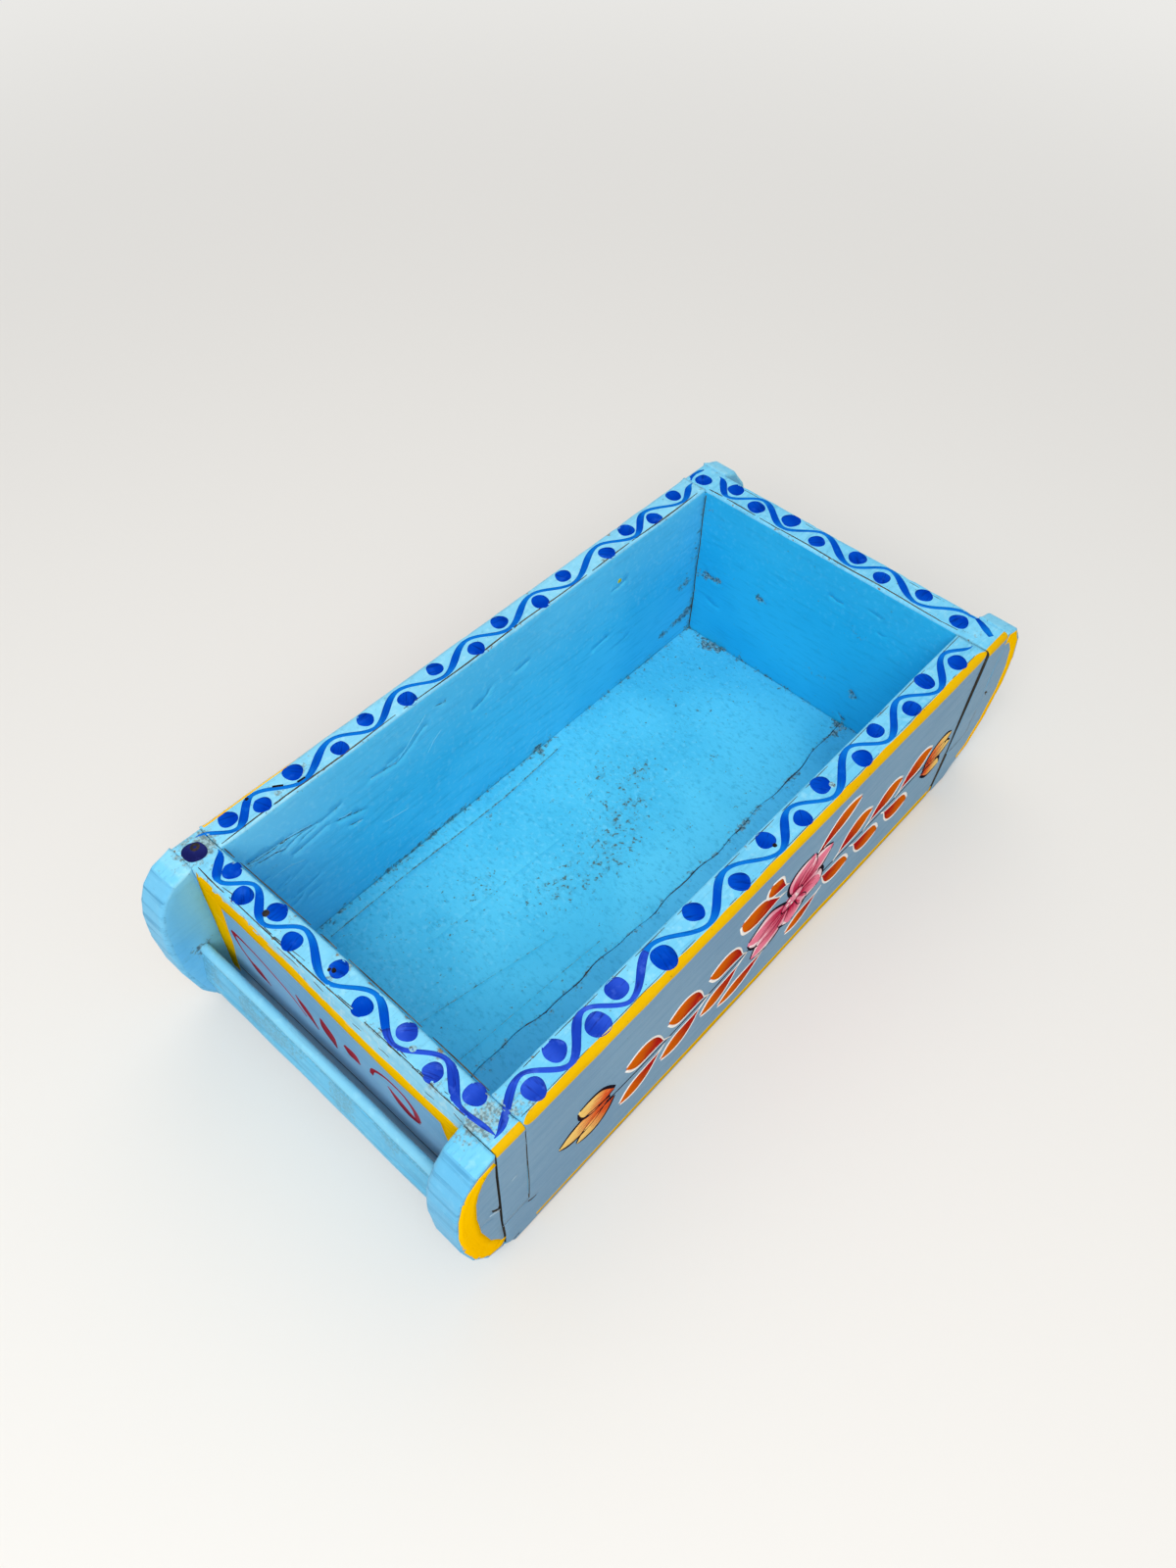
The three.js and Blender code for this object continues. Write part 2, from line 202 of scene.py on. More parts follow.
# tones: base, second, streak and pale
paintLooks = {
    "inside": {"name": "sky blue oil paint brushed on mango wood",
               "tones": "#3cc3ec #4dcef4 #26a2ce #86dcf6", "brushRun": (0.13, 1, 1), "streakShare": 0.44,
               "paleShare": 0.3},
    "farInside": {"name": "deep sky blue oil paint brushed on mango wood",
                  "tones": "#1dafe0 #29b8e6 #128cbc #5ccaee", "brushRun": (1, 0.14, 1), "streakShare": 0.36,
                  "paleShare": 0.26},
    "floor": {"name": "bright sky blue oil paint rolled on deal",
              "tones": "#48c1e4 #5ad0ef #2c9ac0 #78d7f1", "mottleSize": 2.0, "paleShare": 0.5, "bump": 0.6,
              "brushRun": (1, 0.5, 1), "streakSize": 1.3, "streakShare": 0.54, "speckSize": 1.6},
    "rim": {"name": "pale cyan oil paint brushed on a worn rim", "tones": "#66c1e6 #75cbec #4c9fc4 #a4e0f0",
            "grime": "#68695c", "grit": "#9cb6b6", "fleck": "#57706c", "wearReach": 0.15, "cloudSize": 25,
            "streakSize": 1.1, "streakShare": 0.5, "paleShare": 0.35, "speckSize": 1.0},
    "outside": {"name": "dusty grey blue oil paint brushed on mango wood",
                "tones": "#648fae #6e98b4 #5983a2 #80a6c0", "cloudSize": 80, "streakShare": 0.25,
                "grime": "#5d5a50"},
    # painted light: a lighter copy of the sides' dusty grey blue for the end faces; its pale tone lightens
    # the near face behind the bar
    "endFace": {"name": "light grey blue oil paint brushed across an end board",
                "tones": "#6298be #6ca0c4 #568bb0 #a0d0ec", "cloudSize": 60, "streakShare": 0.25,
                "paleShare": 0.06, "brushRun": (1, 0.07, 1), "grime": "#6f6358", "gloss": 0.08},
    "ear": {"name": "light sky blue oil paint on sawn end grain",
            "tones": "#5cb0da #6cbce2 #3a86b2 #8cd0ea", "brushRun": (1, 0.04, 1), "streakSize": 1.7,
            "streakShare": 0.85, "bump": 0.8},
    "earFace": {"name": "light sky blue oil paint brushed on a planed ear",
                "tones": "#5eb6e6 #6abee8 #4fa2cc #84cce8", "cloudSize": 22},
    # its grime tone also paints shade along the crease under the bar's top bead
    "bar": {"name": "rubbed light blue oil paint on a shaved slat",
            "tones": "#52acd4 #60bae0 #388cb2 #96d8ee", "brushRun": (1, 0.06, 1), "grime": "#5a8a98",
            "grit": "#6cb0cc", "paleShare": 0.2, "streakShare": 0.7, "grimeShare": 0.5, "wearReach": 0.08},
    "bevel": {"name": "pale paint rubbed thin on a planed bevel",
              "tones": "#74bcda #86c8e0 #649fb8 #bcd8da", "brushRun": (1, 0.06, 1), "paleShare": 0.4,
              "streakShare": 0.6, "grime": "#7d7463", "wearReach": 0.17},
    "yellow": {"name": "chrome yellow oil paint brushed along an edge",
               "tones": "#dfac00 #e4b400 #d09c00 #eac020", "chip": "#8a6a2c", "wearReach": 0.04,
               "grime": "#7a6420", "grit": "#c09820", "smudge": "#d4a206", "fleck": "#b28c18",
               "grimeShare": 0.4, "gloss": 0.04},
    "crack": {"name": "old wood black with dirt inside a joint", "tones": "#37322a #403a30 #2b2721 #4a4338",
              "chip": "#2e2923", "grit": "#2e2923", "roughness": 0.85, "bump": 0.5},
    "wood": {"name": "bare mango wood from the saw", "tones": "#7d6549 #8d7354 #5f4a34 #a08a68",
             "chip": "#5a4632", "grit": "#6a5843", "roughness": 0.75, "bump": 0.6},
}
# painted shade: the floor paint darkened for the strip along the right wall, where shade falls
paintLooks["strip"] = {**paintLooks["floor"], "name": "dulled sky blue oil paint rolled on deal",
                       "tones": "#46b4da #54c2e6 #2a8eb6 #70caea", "paleShare": 0.4}
paints = {key: brushedPaint({**plainPaint, **look}) for key, look in paintLooks.items()}
print("paints on wood:", len(paints))

# The boards

def densePath(points, step):  # a broken line with points a step apart at most, without its last point
    dense = []
    for start, end in zip(points[:-1], points[1:]):
        count = max(1, math.ceil(math.dist(start, end) / step))
        for k in range(count):
            dense.append([a + (b - a) * k / count for a, b in zip(start, end)])
    return dense

def wholePath(points, step):  # the same with its last point
    return np.array(densePath(points, step) + [list(points[-1])])

def tube(levels, count):  # quads between rings of points, level after level
    turns = [(k, (k + 1) % count) for k in range(count)]
    starts = range(0, levels * count, count)
    return [(row + k, row + after, row + count + after, row + count + k)
            for row in starts for k, after in turns]

def closedTube(levels, count):  # the same with both ends filled
    return tube(levels, count) + [tuple(range(count)), tuple(range(levels * count, (levels + 1) * count))]

def distanceTo(points, line):  # distance of each point from a broken line
    points = np.asarray(points)[:, None, :]
    start = np.array(line[:-1])
    run = np.array(line[1:]) - start
    share = ((points - start) * run).sum(2) / np.maximum((run ** 2).sum(1), 1e-9)
    nearest = start + np.clip(share, 0, 1)[..., None] * run
    return np.linalg.norm(points - nearest, axis=2).min(1)

def insideOutline(points, outline):
    x, y = points[:, :1], points[:, 1:]
    x0, y0 = outline.T
    x1, y1 = np.roll(outline, -1, 0).T
    rise = np.where(y1 == y0, 1e-9, y1 - y0)
    crossed = ((y0 > y) != (y1 > y)) & (x < (x1 - x0) * (y - y0) / rise + x0)
    return crossed.sum(1) % 2 == 1

def acrossPath(path):  # unit vectors square to a path
    ahead = np.gradient(path, axis=0)
    ahead /= np.maximum(np.linalg.norm(ahead, axis=1, keepdims=True), 1e-9)
    return np.stack([-ahead[:, 1], ahead[:, 0]], 1)

fill = {"rowPitch": 0.87, "shake": 0.2, "fromRing": 0.45, "fromCut": 0.6,  # shares of the gap
        "traceStep": 0.7, "traceFromRing": 0.3, "traceGrid": 0.22}  # mm

def fillFace(ring, gap, lines):
    # triangles for a flat face inside a ring, with points along the lines that are cut into it
    low, high = ring.min(0), ring.max(0)
    rows = np.arange(low[1] + gap / 2, high[1], gap * fill["rowPitch"])
    columns = np.arange(low[0] + gap / 2, high[0], gap)
    grid = np.array([(x + gap / 2 * (k % 2), y) for k, y in enumerate(rows) for x in columns])
    shake = fill["shake"]
    grid += np.array([[random.uniform(-shake, shake) * gap for _ in range(2)] for _ in grid])
    inner = grid[insideOutline(grid, ring)]
    closedRing = np.vstack([ring, ring[:1]])
    inner = inner[distanceTo(inner, closedRing) > gap * fill["fromRing"]]
    traced = []
    for line in lines:
        path = wholePath(line["path"], fill["traceStep"])
        beside = acrossPath(path) * line["width"]
        traced += [path - beside, path, path + beside]
        inner = inner[distanceTo(inner, line["path"]) > gap * fill["fromCut"]]
    if traced:
        traced = np.vstack(traced)
        traced = traced[insideOutline(traced, ring)]
        traced = traced[distanceTo(traced, closedRing) > fill["traceFromRing"]]
        _, first = np.unique(np.round(traced / fill["traceGrid"]), axis=0, return_index=True)
        inner = np.vstack([inner, traced[np.sort(first)]])
    points = np.vstack([ring, inner])
    edges = [(k, (k + 1) % len(ring)) for k in range(len(ring))]
    _, _, faces, origins, _, _ = delaunay_2d_cdt([Vector(p) for p in points], edges, [], 1, 1e-6)
    return inner, [tuple(origins[v][0] for v in face) for face in faces]

def cutDepth(points, lines):  # depth of the deepest cut at each point
    depth = np.zeros(len(points))
    for line in lines:
        share = 1 - distanceTo(points, line["path"]) / line["width"]
        depth = np.maximum(depth, line["depth"] * np.clip(share, 0, 1) ** 0.7)
    return depth

def meshPiece(name, points, faces, node, materials, zones=None):  # node is the one it stands in for
    mesh = bpy.data.meshes.new(name)
    mesh.from_pydata(toFrame(points).tolist(), [], faces)
    for material in materials:
        mesh.materials.append(material)
    if zones is not None:
        mesh.polygons.foreach_set("material_index", zones)
    mesh.polygons.foreach_set("use_smooth", [True] * len(mesh.polygons))
    shape = bmesh.new()
    shape.from_mesh(mesh)
    bmesh.ops.recalc_face_normals(shape, faces=shape.faces)
    shape.to_mesh(mesh)
    shape.free()
    piece = bpy.data.objects.new(name, mesh)
    bpy.context.scene.collection.objects.link(piece)
    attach(piece, "root")
    if node:
        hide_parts(node)
    return piece

def setFloat(mesh, name, values):
    layer = mesh.attributes.new(name, "FLOAT", "POINT")
    layer.data.foreach_set("value", np.asarray(values, np.float32))

def meshPoints(mesh):
    flat = np.zeros(len(mesh.vertices) * 3, np.float32)
    mesh.vertices.foreach_get("co", flat)
    return flat.reshape(-1, 3) * 1000 - middle

roundTurns = np.radians([90, 60, 30, 0])
wallStep = 1.5  # between rings across a board's edge, mm
chip = {"size": (0.5, 1.3), "depth": (0.1, 0.3), "stretch": (1.6, 1.6, 1)}  # mm, mm and shares

def carveBoard(board):
    # a board with eased edges, hand-planed faces, cut lines and chipped edges; depth is measured from
    # its outer face
    outline, tags = [], []
    for tag, run in board["runs"]:
        dense = densePath(run, boardSteps[tag])
        outline += dense
        tags += [tag] * len(dense)
    outline = np.array(outline)
    count = len(outline)
    ahead = np.roll(outline, -1, 0) - outline
    ahead /= np.linalg.norm(ahead, axis=1, keepdims=True)
    inward = np.stack([-ahead[:, 1], ahead[:, 0]], 1)
    mean = inward + np.roll(inward, 1, 0)
    mean /= np.linalg.norm(mean, axis=1, keepdims=True)
    mean /= np.clip((mean * inward).sum(1, keepdims=True), 0.7, 1)
    radii = []
    for side in (0, 1):
        radius = np.array([board["rounds"][tag][side] for tag in tags], float)
        radius = np.minimum(radius, np.roll(radius, 1))
        for _ in range(2):
            radius = (np.roll(radius, 1) + radius + np.roll(radius, -1)) / 3
        wobble = unevenness([(p[0], p[1], side * 40) for p in outline], 9, 0.2, board["seed"])
        radii.append(radius * (1 + wobble))
    thick = board["thickness"]
    rings, ringWear = [], []
    def easedRing(turn, side):  # a ring on the rounded edge of the front or the back
        inset = radii[side] * (1 - math.cos(turn))
        sunk = radii[side] * (1 - math.sin(turn))
        rings.append(np.column_stack([outline + mean * inset[:, None], thick - sunk if side else sunk]))
        ringWear.append(np.full(count, 0.8 + 0.2 * math.sin(2 * turn)))
    for turn in roundTurns:
        easedRing(turn, 0)
    rowCount = max(2, round(thick / wallStep))
    for row in range(1, rowCount):
        share = row / rowCount
        depth = radii[0] * (1 - share) + (thick - radii[1]) * share
        rings.append(np.column_stack([outline, depth]))
        ringWear.append(np.exp(-np.minimum(depth - radii[0], thick - radii[1] - depth) / 0.9) * 0.8)
    for turn in roundTurns[::-1]:
        easedRing(turn, 1)
    roundStrips = len(roundTurns) - 1
    strips = ["front"] * roundStrips + ["wall"] * rowCount + ["back"] * roundStrips
    faces = tube(len(strips), count)
    zones = [board["edgeZone"](tag, strip) for strip in strips for tag in tags]
    for level in range(len(roundTurns)):
        rings[level][:, 2] += cutDepth(rings[level][:, :2], board["frontCuts"])
        rings[-1 - level][:, 2] -= cutDepth(rings[-1 - level][:, :2], board["backCuts"])
    points, wear = [np.vstack(rings)], [np.concatenate(ringWear)]
    cutDirt = [np.zeros(len(points[0]))]
    for ring, cuts, level, zone in ((rings[0], board["frontCuts"], 0, board["frontZone"]),
                                    (rings[-1], board["backCuts"], len(rings) - 1, board["backZone"])):
        start = sum(len(p) for p in points)
        inner, triangles = fillFace(ring[:, :2], board["gap"], cuts)
        depth = cutDepth(inner, cuts)
        points.append(np.column_stack([inner, thick - depth if level else depth]))
        cutDirt.append(np.clip(depth * 2.2, 0, 0.8))
        wear.append(np.exp(-distanceTo(inner, np.vstack([ring[:, :2], ring[:1, :2]])) / 0.8) * 0.8
                    + np.clip(depth * 1.5, 0, 0.6))
        flat = np.vstack([ring[:, :2], inner])
        centres = np.array([flat[list(triangle)].mean(0) for triangle in triangles])
        dark = np.zeros(len(centres), bool)
        for line in cuts:
            if line["dark"]:
                dark |= distanceTo(centres, line["path"]) < line["width"] * 0.75
        for triangle, centre, inCrack in zip(triangles, centres, dark):
            faces.append(tuple(level * count + v if v < count else start + v - count for v in triangle))
            zones.append("crack" if inCrack else zone(*centre))
    points, wear = np.vstack(points), np.concatenate(wear)
    keys = sorted(set(zones))
    placed = np.column_stack(board["lay"](points[:, 0], points[:, 1], points[:, 2]))
    piece = meshPiece(board["node"] + "_wood", placed, faces, board["node"],
                      [paints[key] for key in keys], [keys.index(zone) for zone in zones])
    # uneven surface and chipped edges, moved along the normals
    mesh = piece.data
    normals = np.zeros(len(mesh.vertices) * 3, np.float32)
    mesh.vertices.foreach_get("normal", normals)
    normals = normals.reshape(-1, 3)
    rise = unevenness(placed, 26, 0.16, board["seed"]) + unevenness(placed, 6, 0.05, board["seed"] + 3)
    chipAt = [k for k in range(len(wear)) if wear[k] > 0.95 and tags[k % count] in board["chipTags"]
              and k < len(rings) * count]
    for _ in range(board["chips"]):
        centre = placed[random.choice(chipAt)]
        size = random.uniform(*chip["size"])
        near = np.clip(1 - (np.linalg.norm((placed - centre) / chip["stretch"], axis=1) / size) ** 2, 0, 1)
        rise -= near * random.uniform(*chip["depth"])
        wear += near * 1.2
    mesh.vertices.foreach_set("co", toFrame(placed + normals * rise[:, None]).astype(np.float32).ravel())
    mesh.update()
    setFloat(mesh, "wear", wear)
    setFloat(mesh, "grime", board["grime"](*placed.T) + np.concatenate(cutDirt))
    setFloat(mesh, "speck", board["speck"](*placed.T))
    setFloat(mesh, "faded", board["faded"](*placed.T))
    return piece

rimStains = [  # along and across the box, size and strength
    (-127, 64, 70, 0.62), (-121, 64, 14, 0.5), (-125, -63, 60, 0.6), (-121, -1, 8, 0.6), (-128, 0, 12, 0.5),
    (-94.5, 63.1, 6, 0.6), (-84.4, 63.4, 5, 0.6), (-121, -57, 10, 0.5), (-131, -61, 24, 0.38),
    (-117, -66, 12, 0.45), (-129, -22, 30, 0.5), (-130, -45, 40, 0.55), (119, 60, 12, 0.4),
    (-113, -70, 8, 0.5), (-80, 68, 20, 0.4), (-129, 28, 20, 0.4), (-121, 22, 10, 0.4), (-121, -40, 14, 0.4),
    (124, -64, 20, 0.4), (60, 60.5, 6, 0.5),
]

leftSmudges = [  # on the left wall: along and up, reach both ways and strength
    (112.5, 37, 4, 4, 0.75), (117, 18, 4, 3, 0.85), (110, 16, 5, 2.4, 0.8), (101, 14.6, 5, 2.2, 0.8),
    (116, 50, 2, 9, 0.4), (20.5, 7, 3, 1.6, 0.8), (-113, 66, 6, 2, 0.5), (-40, 6.5, 30, 1, 0.35),
]
farSmudges = [  # on the far wall: across and up, reach both ways and strength
    (54.6, 39.8, 2.6, 2.2, 0.75), (49, 40.6, 3, 1.8, 0.65), (46, 41.6, 2, 2, 0.6), (25.3, 45, 3, 1.8, 0.65),
    (-27, 24.3, 2.4, 3, 0.8), (-32, 47.9, 1.2, 1.4, 0.6), (-25, 55, 8, 3, 0.3), (-9, 25, 9, 4, 0.3),
    (54, 74, 5, 2, 0.5), (10, 76, 20, 1.4, 0.35),
]

def spots(a, b, marks):  # how much each point has of some soft-edged marks
    total = np.zeros(len(a))
    for middleA, middleB, reachA, reachB, strength in marks:
        total += strength * np.exp(-((a - middleA) / reachA) ** 2 - ((b - middleB) / reachB) ** 2)
    return total

def boardDirt(x, y, z):  # dirt that a brush leaves along the inside corners, and stains on the rim
    inside = (np.abs(x) < halfLength + 0.5) & (np.abs(y) < halfWidth + 0.5) & (z < rimHeight - 1.5)
    foot = np.exp(-np.abs(z - floorTop) / 1.8) * 0.5
    corner = np.exp(-np.abs(halfLength - np.abs(x)) / 1.4 - np.abs(halfWidth - np.abs(y)) / 1.4) * 0.45
    marks = np.where(inside & (y > halfWidth - 1), spots(x, z, leftSmudges), 0)
    marks += np.where(inside & (x > halfLength - 1) & (y < halfWidth - 0.5), spots(y, z, farSmudges), 0)
    earX, earZ = (x - nearFace + 8) / 5, (z - 44) / 4
    marks += np.where((x < nearFace) & (np.abs(y) < halfWidth + 1), np.exp(-earX ** 2 - earZ ** 2) * 0.7, 0)
    stains = sum(share * np.exp(-((x - a) ** 2 + (y - b) ** 2) / size) for a, b, size, share in rimStains)
    return np.where(inside, foot + corner, 0) + marks + np.where(z > rimHeight - 2, stains, 0)

rimSkin = rimHeight - 1.2  # points above this belong to the rim

def boardSpecks(x, y, z):
    return np.where(z > rimSkin, 0.42, 0.12)

ears = {  # face and reach, height of the fullest point, where the curve starts, its power above, its flats
    "near": {"face": nearFace, "reach": -nearReach, "full": 52, "foot": 5.5, "power": 2.4,
             "flats": (0, 7, 13, 19, 24, 29, 33, 37, 42, 48)},
    "far": {"face": farFace, "reach": farReach, "full": 40, "foot": 4, "power": 2.0,
            "flats": (0, 8, 16, 24, 30, 36, 42, 48)},
}
quarter = 24  # steps of the curve below its fullest point, and above it

def sawnEar(end):  # from the foot up to the rim, in the short flats that a saw and rasp left
    ear = ears[end]
    points = []
    for k in ear["flats"]:
        turn = abs(k / quarter - 1) * math.pi / 2
        power = 2 / ear["power"] if k > quarter else 1
        rise = (rimHeight if k > quarter else ear["foot"]) - ear["full"]
        points.append((ear["face"] + ear["reach"] * math.cos(turn) ** power,
                       ear["full"] + rise * math.sin(turn) ** power))
    return points

slotFloor = 24.7  # height of the slots' floor, mm
footRun = 4  # length of the cut corner under each ear, mm
boardSteps = {"rim": 1.3, "earNear": 1.3, "earFar": 1.5, "earTop": 1.5, "slot": 3, "tightSlot": 3,
              "slotFloor": 2, "foot": 1.5, "bottom": 3, "armEnd": 2, "band": 0.6, "wornBand": 0.6,
              "armUnder": 3, "waist": 3, "edge": 2.5, "joint": 1.3}

def sideRuns(gaps):  # gaps of the slots: near outer, near inner, far inner, far outer
    farEar, nearEar = sawnEar("far"), sawnEar("near")[::-1]
    nearOut, nearIn = nearFace - gaps[0], gaps[1] - halfLength
    farIn, farOut = halfLength - gaps[2], farFace + gaps[3]
    farEar[-1] = (farOut, rimHeight)
    nearEar[0] = (nearFace - 0.3 * gaps[0], rimHeight)
    gapTop = (halfLength - 0.6 * gaps[2], rimHeight)
    nearFoot, farFoot = (nearFace + footRun, 0), (farFace - footRun, 0)
    fit = ["tightSlot" if gap < 0.1 else "slot" for gap in gaps]
    return [
        ("bottom", [nearFoot, farFoot]), ("foot", [farFoot, farEar[0]]), ("earFar", farEar[:-2]),
        ("earTop", farEar[-3:]), (fit[3], [farEar[-1], (farOut, slotFloor)]),
        ("slotFloor", [(farOut, slotFloor), (farIn, slotFloor)]),
        (fit[2], [(farIn, slotFloor), (farIn, rimHeight - 12), gapTop]),
        ("rim", [gapTop, (nearIn, rimHeight)]), (fit[1], [(nearIn, rimHeight), (nearIn, slotFloor)]),
        ("slotFloor", [(nearIn, slotFloor), (nearOut, slotFloor)]),
        (fit[0], [(nearOut, slotFloor), (nearOut, rimHeight - 14), nearEar[0]]),
        ("earTop", nearEar[:2]), ("earNear", nearEar[1:]), ("foot", [nearEar[-1], nearFoot]),
    ]

def sideEdgeZone(tag, strip):
    if tag == "tightSlot":
        return {"front": "outside", "wall": "rim", "back": "earFace"}[strip]
    return {"rim": "rim", "earNear": "ear", "earFar": "ear", "earTop": "rim", "slot": "crack",
            "slotFloor": "crack", "bottom": "wood", "foot": "outside"}[tag]

def yellowEdgeZone(tag, strip):
    return "yellow" if tag == "rim" and strip == "front" else sideEdgeZone(tag, strip)

def sideInnerZone(x, z):
    return "inside" if abs(x) < halfLength + 1 else "earFace"

cornerProud = 0.9  # how far the far right corner has sprung out at the rim, mm

def standsProud(x, z):
    return np.where(x > halfLength - 0.6, cornerProud * smooth(z / rimHeight), 0)

def cut(path, width, depth, dark=False):  # a line cut into a face, dark if dirt fills it
    return {"path": path, "width": width, "depth": depth, "dark": dark}

def scratches(count, xs, zs, length, seed):  # short scores along the grain
    dice = random.Random(seed)
    lines = []
    for _ in range(count):
        x, z, run = dice.uniform(*xs), dice.uniform(*zs), dice.uniform(*length)
        bent = (x + run * 0.5, z + dice.uniform(-0.4, 0.7))
        path = [(x, z), bent, (x + run, z + run * 0.14)]
        lines.append(cut(path, dice.uniform(0.2, 0.36), dice.uniform(0.1, 0.28)))
    return lines

plainBoard = {"frontCuts": [], "backCuts": [], "grime": boardDirt, "speck": boardSpecks,
              "faded": lambda x, y, z: np.zeros(len(x))}
sideBoard = {**plainBoard, "slot": "painted_side", "gap": 2.8, "chips": 26,
             "chipTags": ("rim", "earNear", "earFar"), "frontZone": lambda x, z: "outside",
             "backZone": sideInnerZone}
sideRounds = {"slot": (0.3, 0.15), "tightSlot": (0.06, 0.06), "slotFloor": (0.05, 0.05), "foot": (0.8, 0.8),
              "bottom": (0.8, 0.5)}

rightBoard = {
    **sideBoard, "node": "side_board_right", "seed": 1, "runs": sideRuns((0.75, 0.05, 1.5, 0.05)),
    "thickness": -rightFace - halfWidth, "edgeZone": yellowEdgeZone,
    "rounds": {**sideRounds, "rim": (2.3, 0.8), "earNear": (0.8, 2.3), "earFar": (0.8, 1.2),
               "earTop": (0.8, 1.4)},
    "lay": lambda x, z, depth: (x, rightFace + depth - standsProud(x, z), z),
    "frontCuts": [  # cracks that run on below the slots, the split in the near ear and small chips
        cut([(nearFace - 0.4, 26), (nearFace, 15), (nearFace - 0.5, 4)], 0.5, 3, True),
        cut([(halfLength - 0.8, 26), (halfLength - 1.6, 14), (halfLength - 3, 0.3)], 1.4, 4, True),
        cut([(nearFace - 0.4, 40.4), (nearFace - 1.6, 43), (nearFace - 3.2, 45)], 0.55, 0.8, True),
        cut([(-139.4, 42.4), (-137.6, 42.2), (-136, 40.8)], 0.4, 0.3),
        cut([(-126.1, 27.4), (-124.8, 28.2), (-123.4, 27.8)], 0.5, 0.6, True),
        cut([(-120.1, 22.9), (-118.6, 21.6), (-116.6, 21.1)], 0.4, 0.5, True),
        cut([(-127.8, 2.4), (-126, 3.1), (-124.6, 2.8)], 0.4, 0.4, True),
        cut([(128, 58), (129.6, 55.6), (131, 54.6)], 0.5, 0.4, True),
        cut([(136, 48.4), (138, 46)], 0.7, 0.4, True), cut([(126.6, 31), (127.8, 29)], 0.5, 0.4, True),
    ],
    "backCuts": scratches(6, (-110, 100), (15, 75), (4, 12), 4),
}

def leftPaintedLight(x, y, z):  # painted light and shade: paler towards the rim and the near end, deeper low down at the far end; the near ear's inner face lightened towards the end board, and the rim top paler
    wall = 0.36 * smooth((z - 38) / 44) + 0.42 * smooth((-62 - x) / 45)
    wall -= 0.3 * smooth((x - 20) / 60) * smooth((52 - z) / 30)
    ear = 0.6 * smooth((x - nearFace + 14) / 12)
    faded = np.where(np.abs(x) < halfLength + 1, wall, np.where(x < nearFace + 1, ear, 0))
    return np.where(y < halfWidth + 0.5, faded, np.where(z > rimSkin, 0.3, 0))

leftBoard = {
    **sideBoard, "node": "side_board_left", "seed": 2, "runs": sideRuns((0.05, 0.05, 0.05, 0.05)),
    "thickness": leftFace - halfWidth, "edgeZone": sideEdgeZone, "faded": leftPaintedLight,
    "rounds": {**sideRounds, "rim": (1.8, 0.9), "earNear": (1.2, 1.6), "earFar": (1.0, 1.2),
               "earTop": (1.0, 1.4)},
    "lay": lambda x, z, depth: (x, leftFace - depth, z),
    "backCuts": [
        cut([(-113.6, 66.9), (-108, 66), (-100, 65), (-92, 62.6)], 0.4, 0.5),
        cut([(-100, 60), (-94, 62), (-86, 61.2)], 0.4, 0.4),
        cut([(-78, 54.4), (-73, 52.6), (-67.5, 50.4)], 0.5, 0.5), cut([(-73, 47.2), (-69.5, 45.8)], 0.5, 0.4),
        cut([(-60.8, 62.8), (-55, 62), (-49.8, 60.8)], 0.5, 0.5),
        cut([(-49, 61), (-43, 64), (-36.4, 68.8)], 0.35, 0.25), cut([(-29, 74.2), (-26.6, 73.4)], 0.5, 0.35),
        cut([(-12, 58.6), (-8, 59.6), (-5, 61.4)], 0.35, 0.3),
        *scratches(12, (-118, -84), (22, 66), (5, 16), 5), *scratches(5, (-70, 100), (15, 76), (4, 10), 6),
    ],
}

def endRuns(gap, fillet):  # across and up; the arms lie in the slots of the side boards
    waist = halfWidth - gap
    left, right = leftFace, rightFace
    turns = [k / 6 * math.pi / 2 for k in range(7)]
    top = rimHeight - fillet
    leftRound = [(left - fillet + fillet * math.cos(t), top + fillet * math.sin(t)) for t in turns]
    rightRound = [(right + fillet - fillet * math.sin(t), top + fillet * math.cos(t)) for t in turns]
    under = slotFloor + 0.05
    return [
        ("bottom", [(-waist, 0), (waist, 0)]), ("waist", [(waist, 0), (waist, under)]),
        ("armUnder", [(waist, under), (left, under)]), ("armEnd", [(left, under), leftRound[0]]),
        ("wornBand", leftRound), ("rim", [leftRound[-1], rightRound[0]]), ("band", rightRound),
        ("armEnd", [rightRound[-1], (right, under)]), ("armUnder", [(right, under), (-waist, under)]),
        ("waist", [(-waist, under), (-waist, 0)]),
    ]

def endEdgeZone(tag, strip):
    return {"rim": "rim", "band": "yellow", "wornBand": "rim", "armEnd": "outside", "armUnder": "crack",
            "waist": "crack", "bottom": "wood"}[tag]

def paintedTo(key):  # paint that runs on a little way into the slots
    return lambda y, z: key if abs(y) < halfWidth + 2.6 else "crack"

endZone = paintedTo("endFace")

def rubbed(y):  # the outer rim of the near end is rubbed down further towards the right
    return smooth((38 - y) / 70)

def bevelDrop(y):
    return 3 + 6.5 * rubbed(y)

def nearLay(y, z, depth):
    between = smooth((halfWidth + 0.5 - np.abs(y)) / 1.5)
    drop = bevelDrop(y)
    run = (0.8 + 1.1 * rubbed(y)) * between
    shaved = run * np.clip((z - rimHeight + drop) / drop, 0, 1) ** 1.3
    thick = -halfLength - nearFace
    bow = 1.0 * np.cos(np.clip(y / halfWidth, -1, 1) * math.pi / 2) * smooth(z / rimHeight)
    return nearFace + shaved + depth * (thick - shaved + bow) / thick, y, z

def nearZone(y, z):
    return "bevel" if z > rimHeight - bevelDrop(y) and abs(y) < halfWidth else endZone(y, z)

def farLay(y, z, depth):
    return farFace - depth, y - np.where(y < rightFace + 3, standsProud(halfLength, z), 0), z

endBoard = {**plainBoard, "slot": "painted_end", "gap": 2.4, "runs": endRuns(0.15, 2.2), "chipTags": ("rim",),
            "edgeZone": endEdgeZone, "frontZone": endZone}
endRounds = {"band": (0.3, 0.3), "wornBand": (0.3, 0.3), "armUnder": (0.05, 0.05), "waist": (0.2, 0.2),
             "bottom": (0.6, 0.4)}

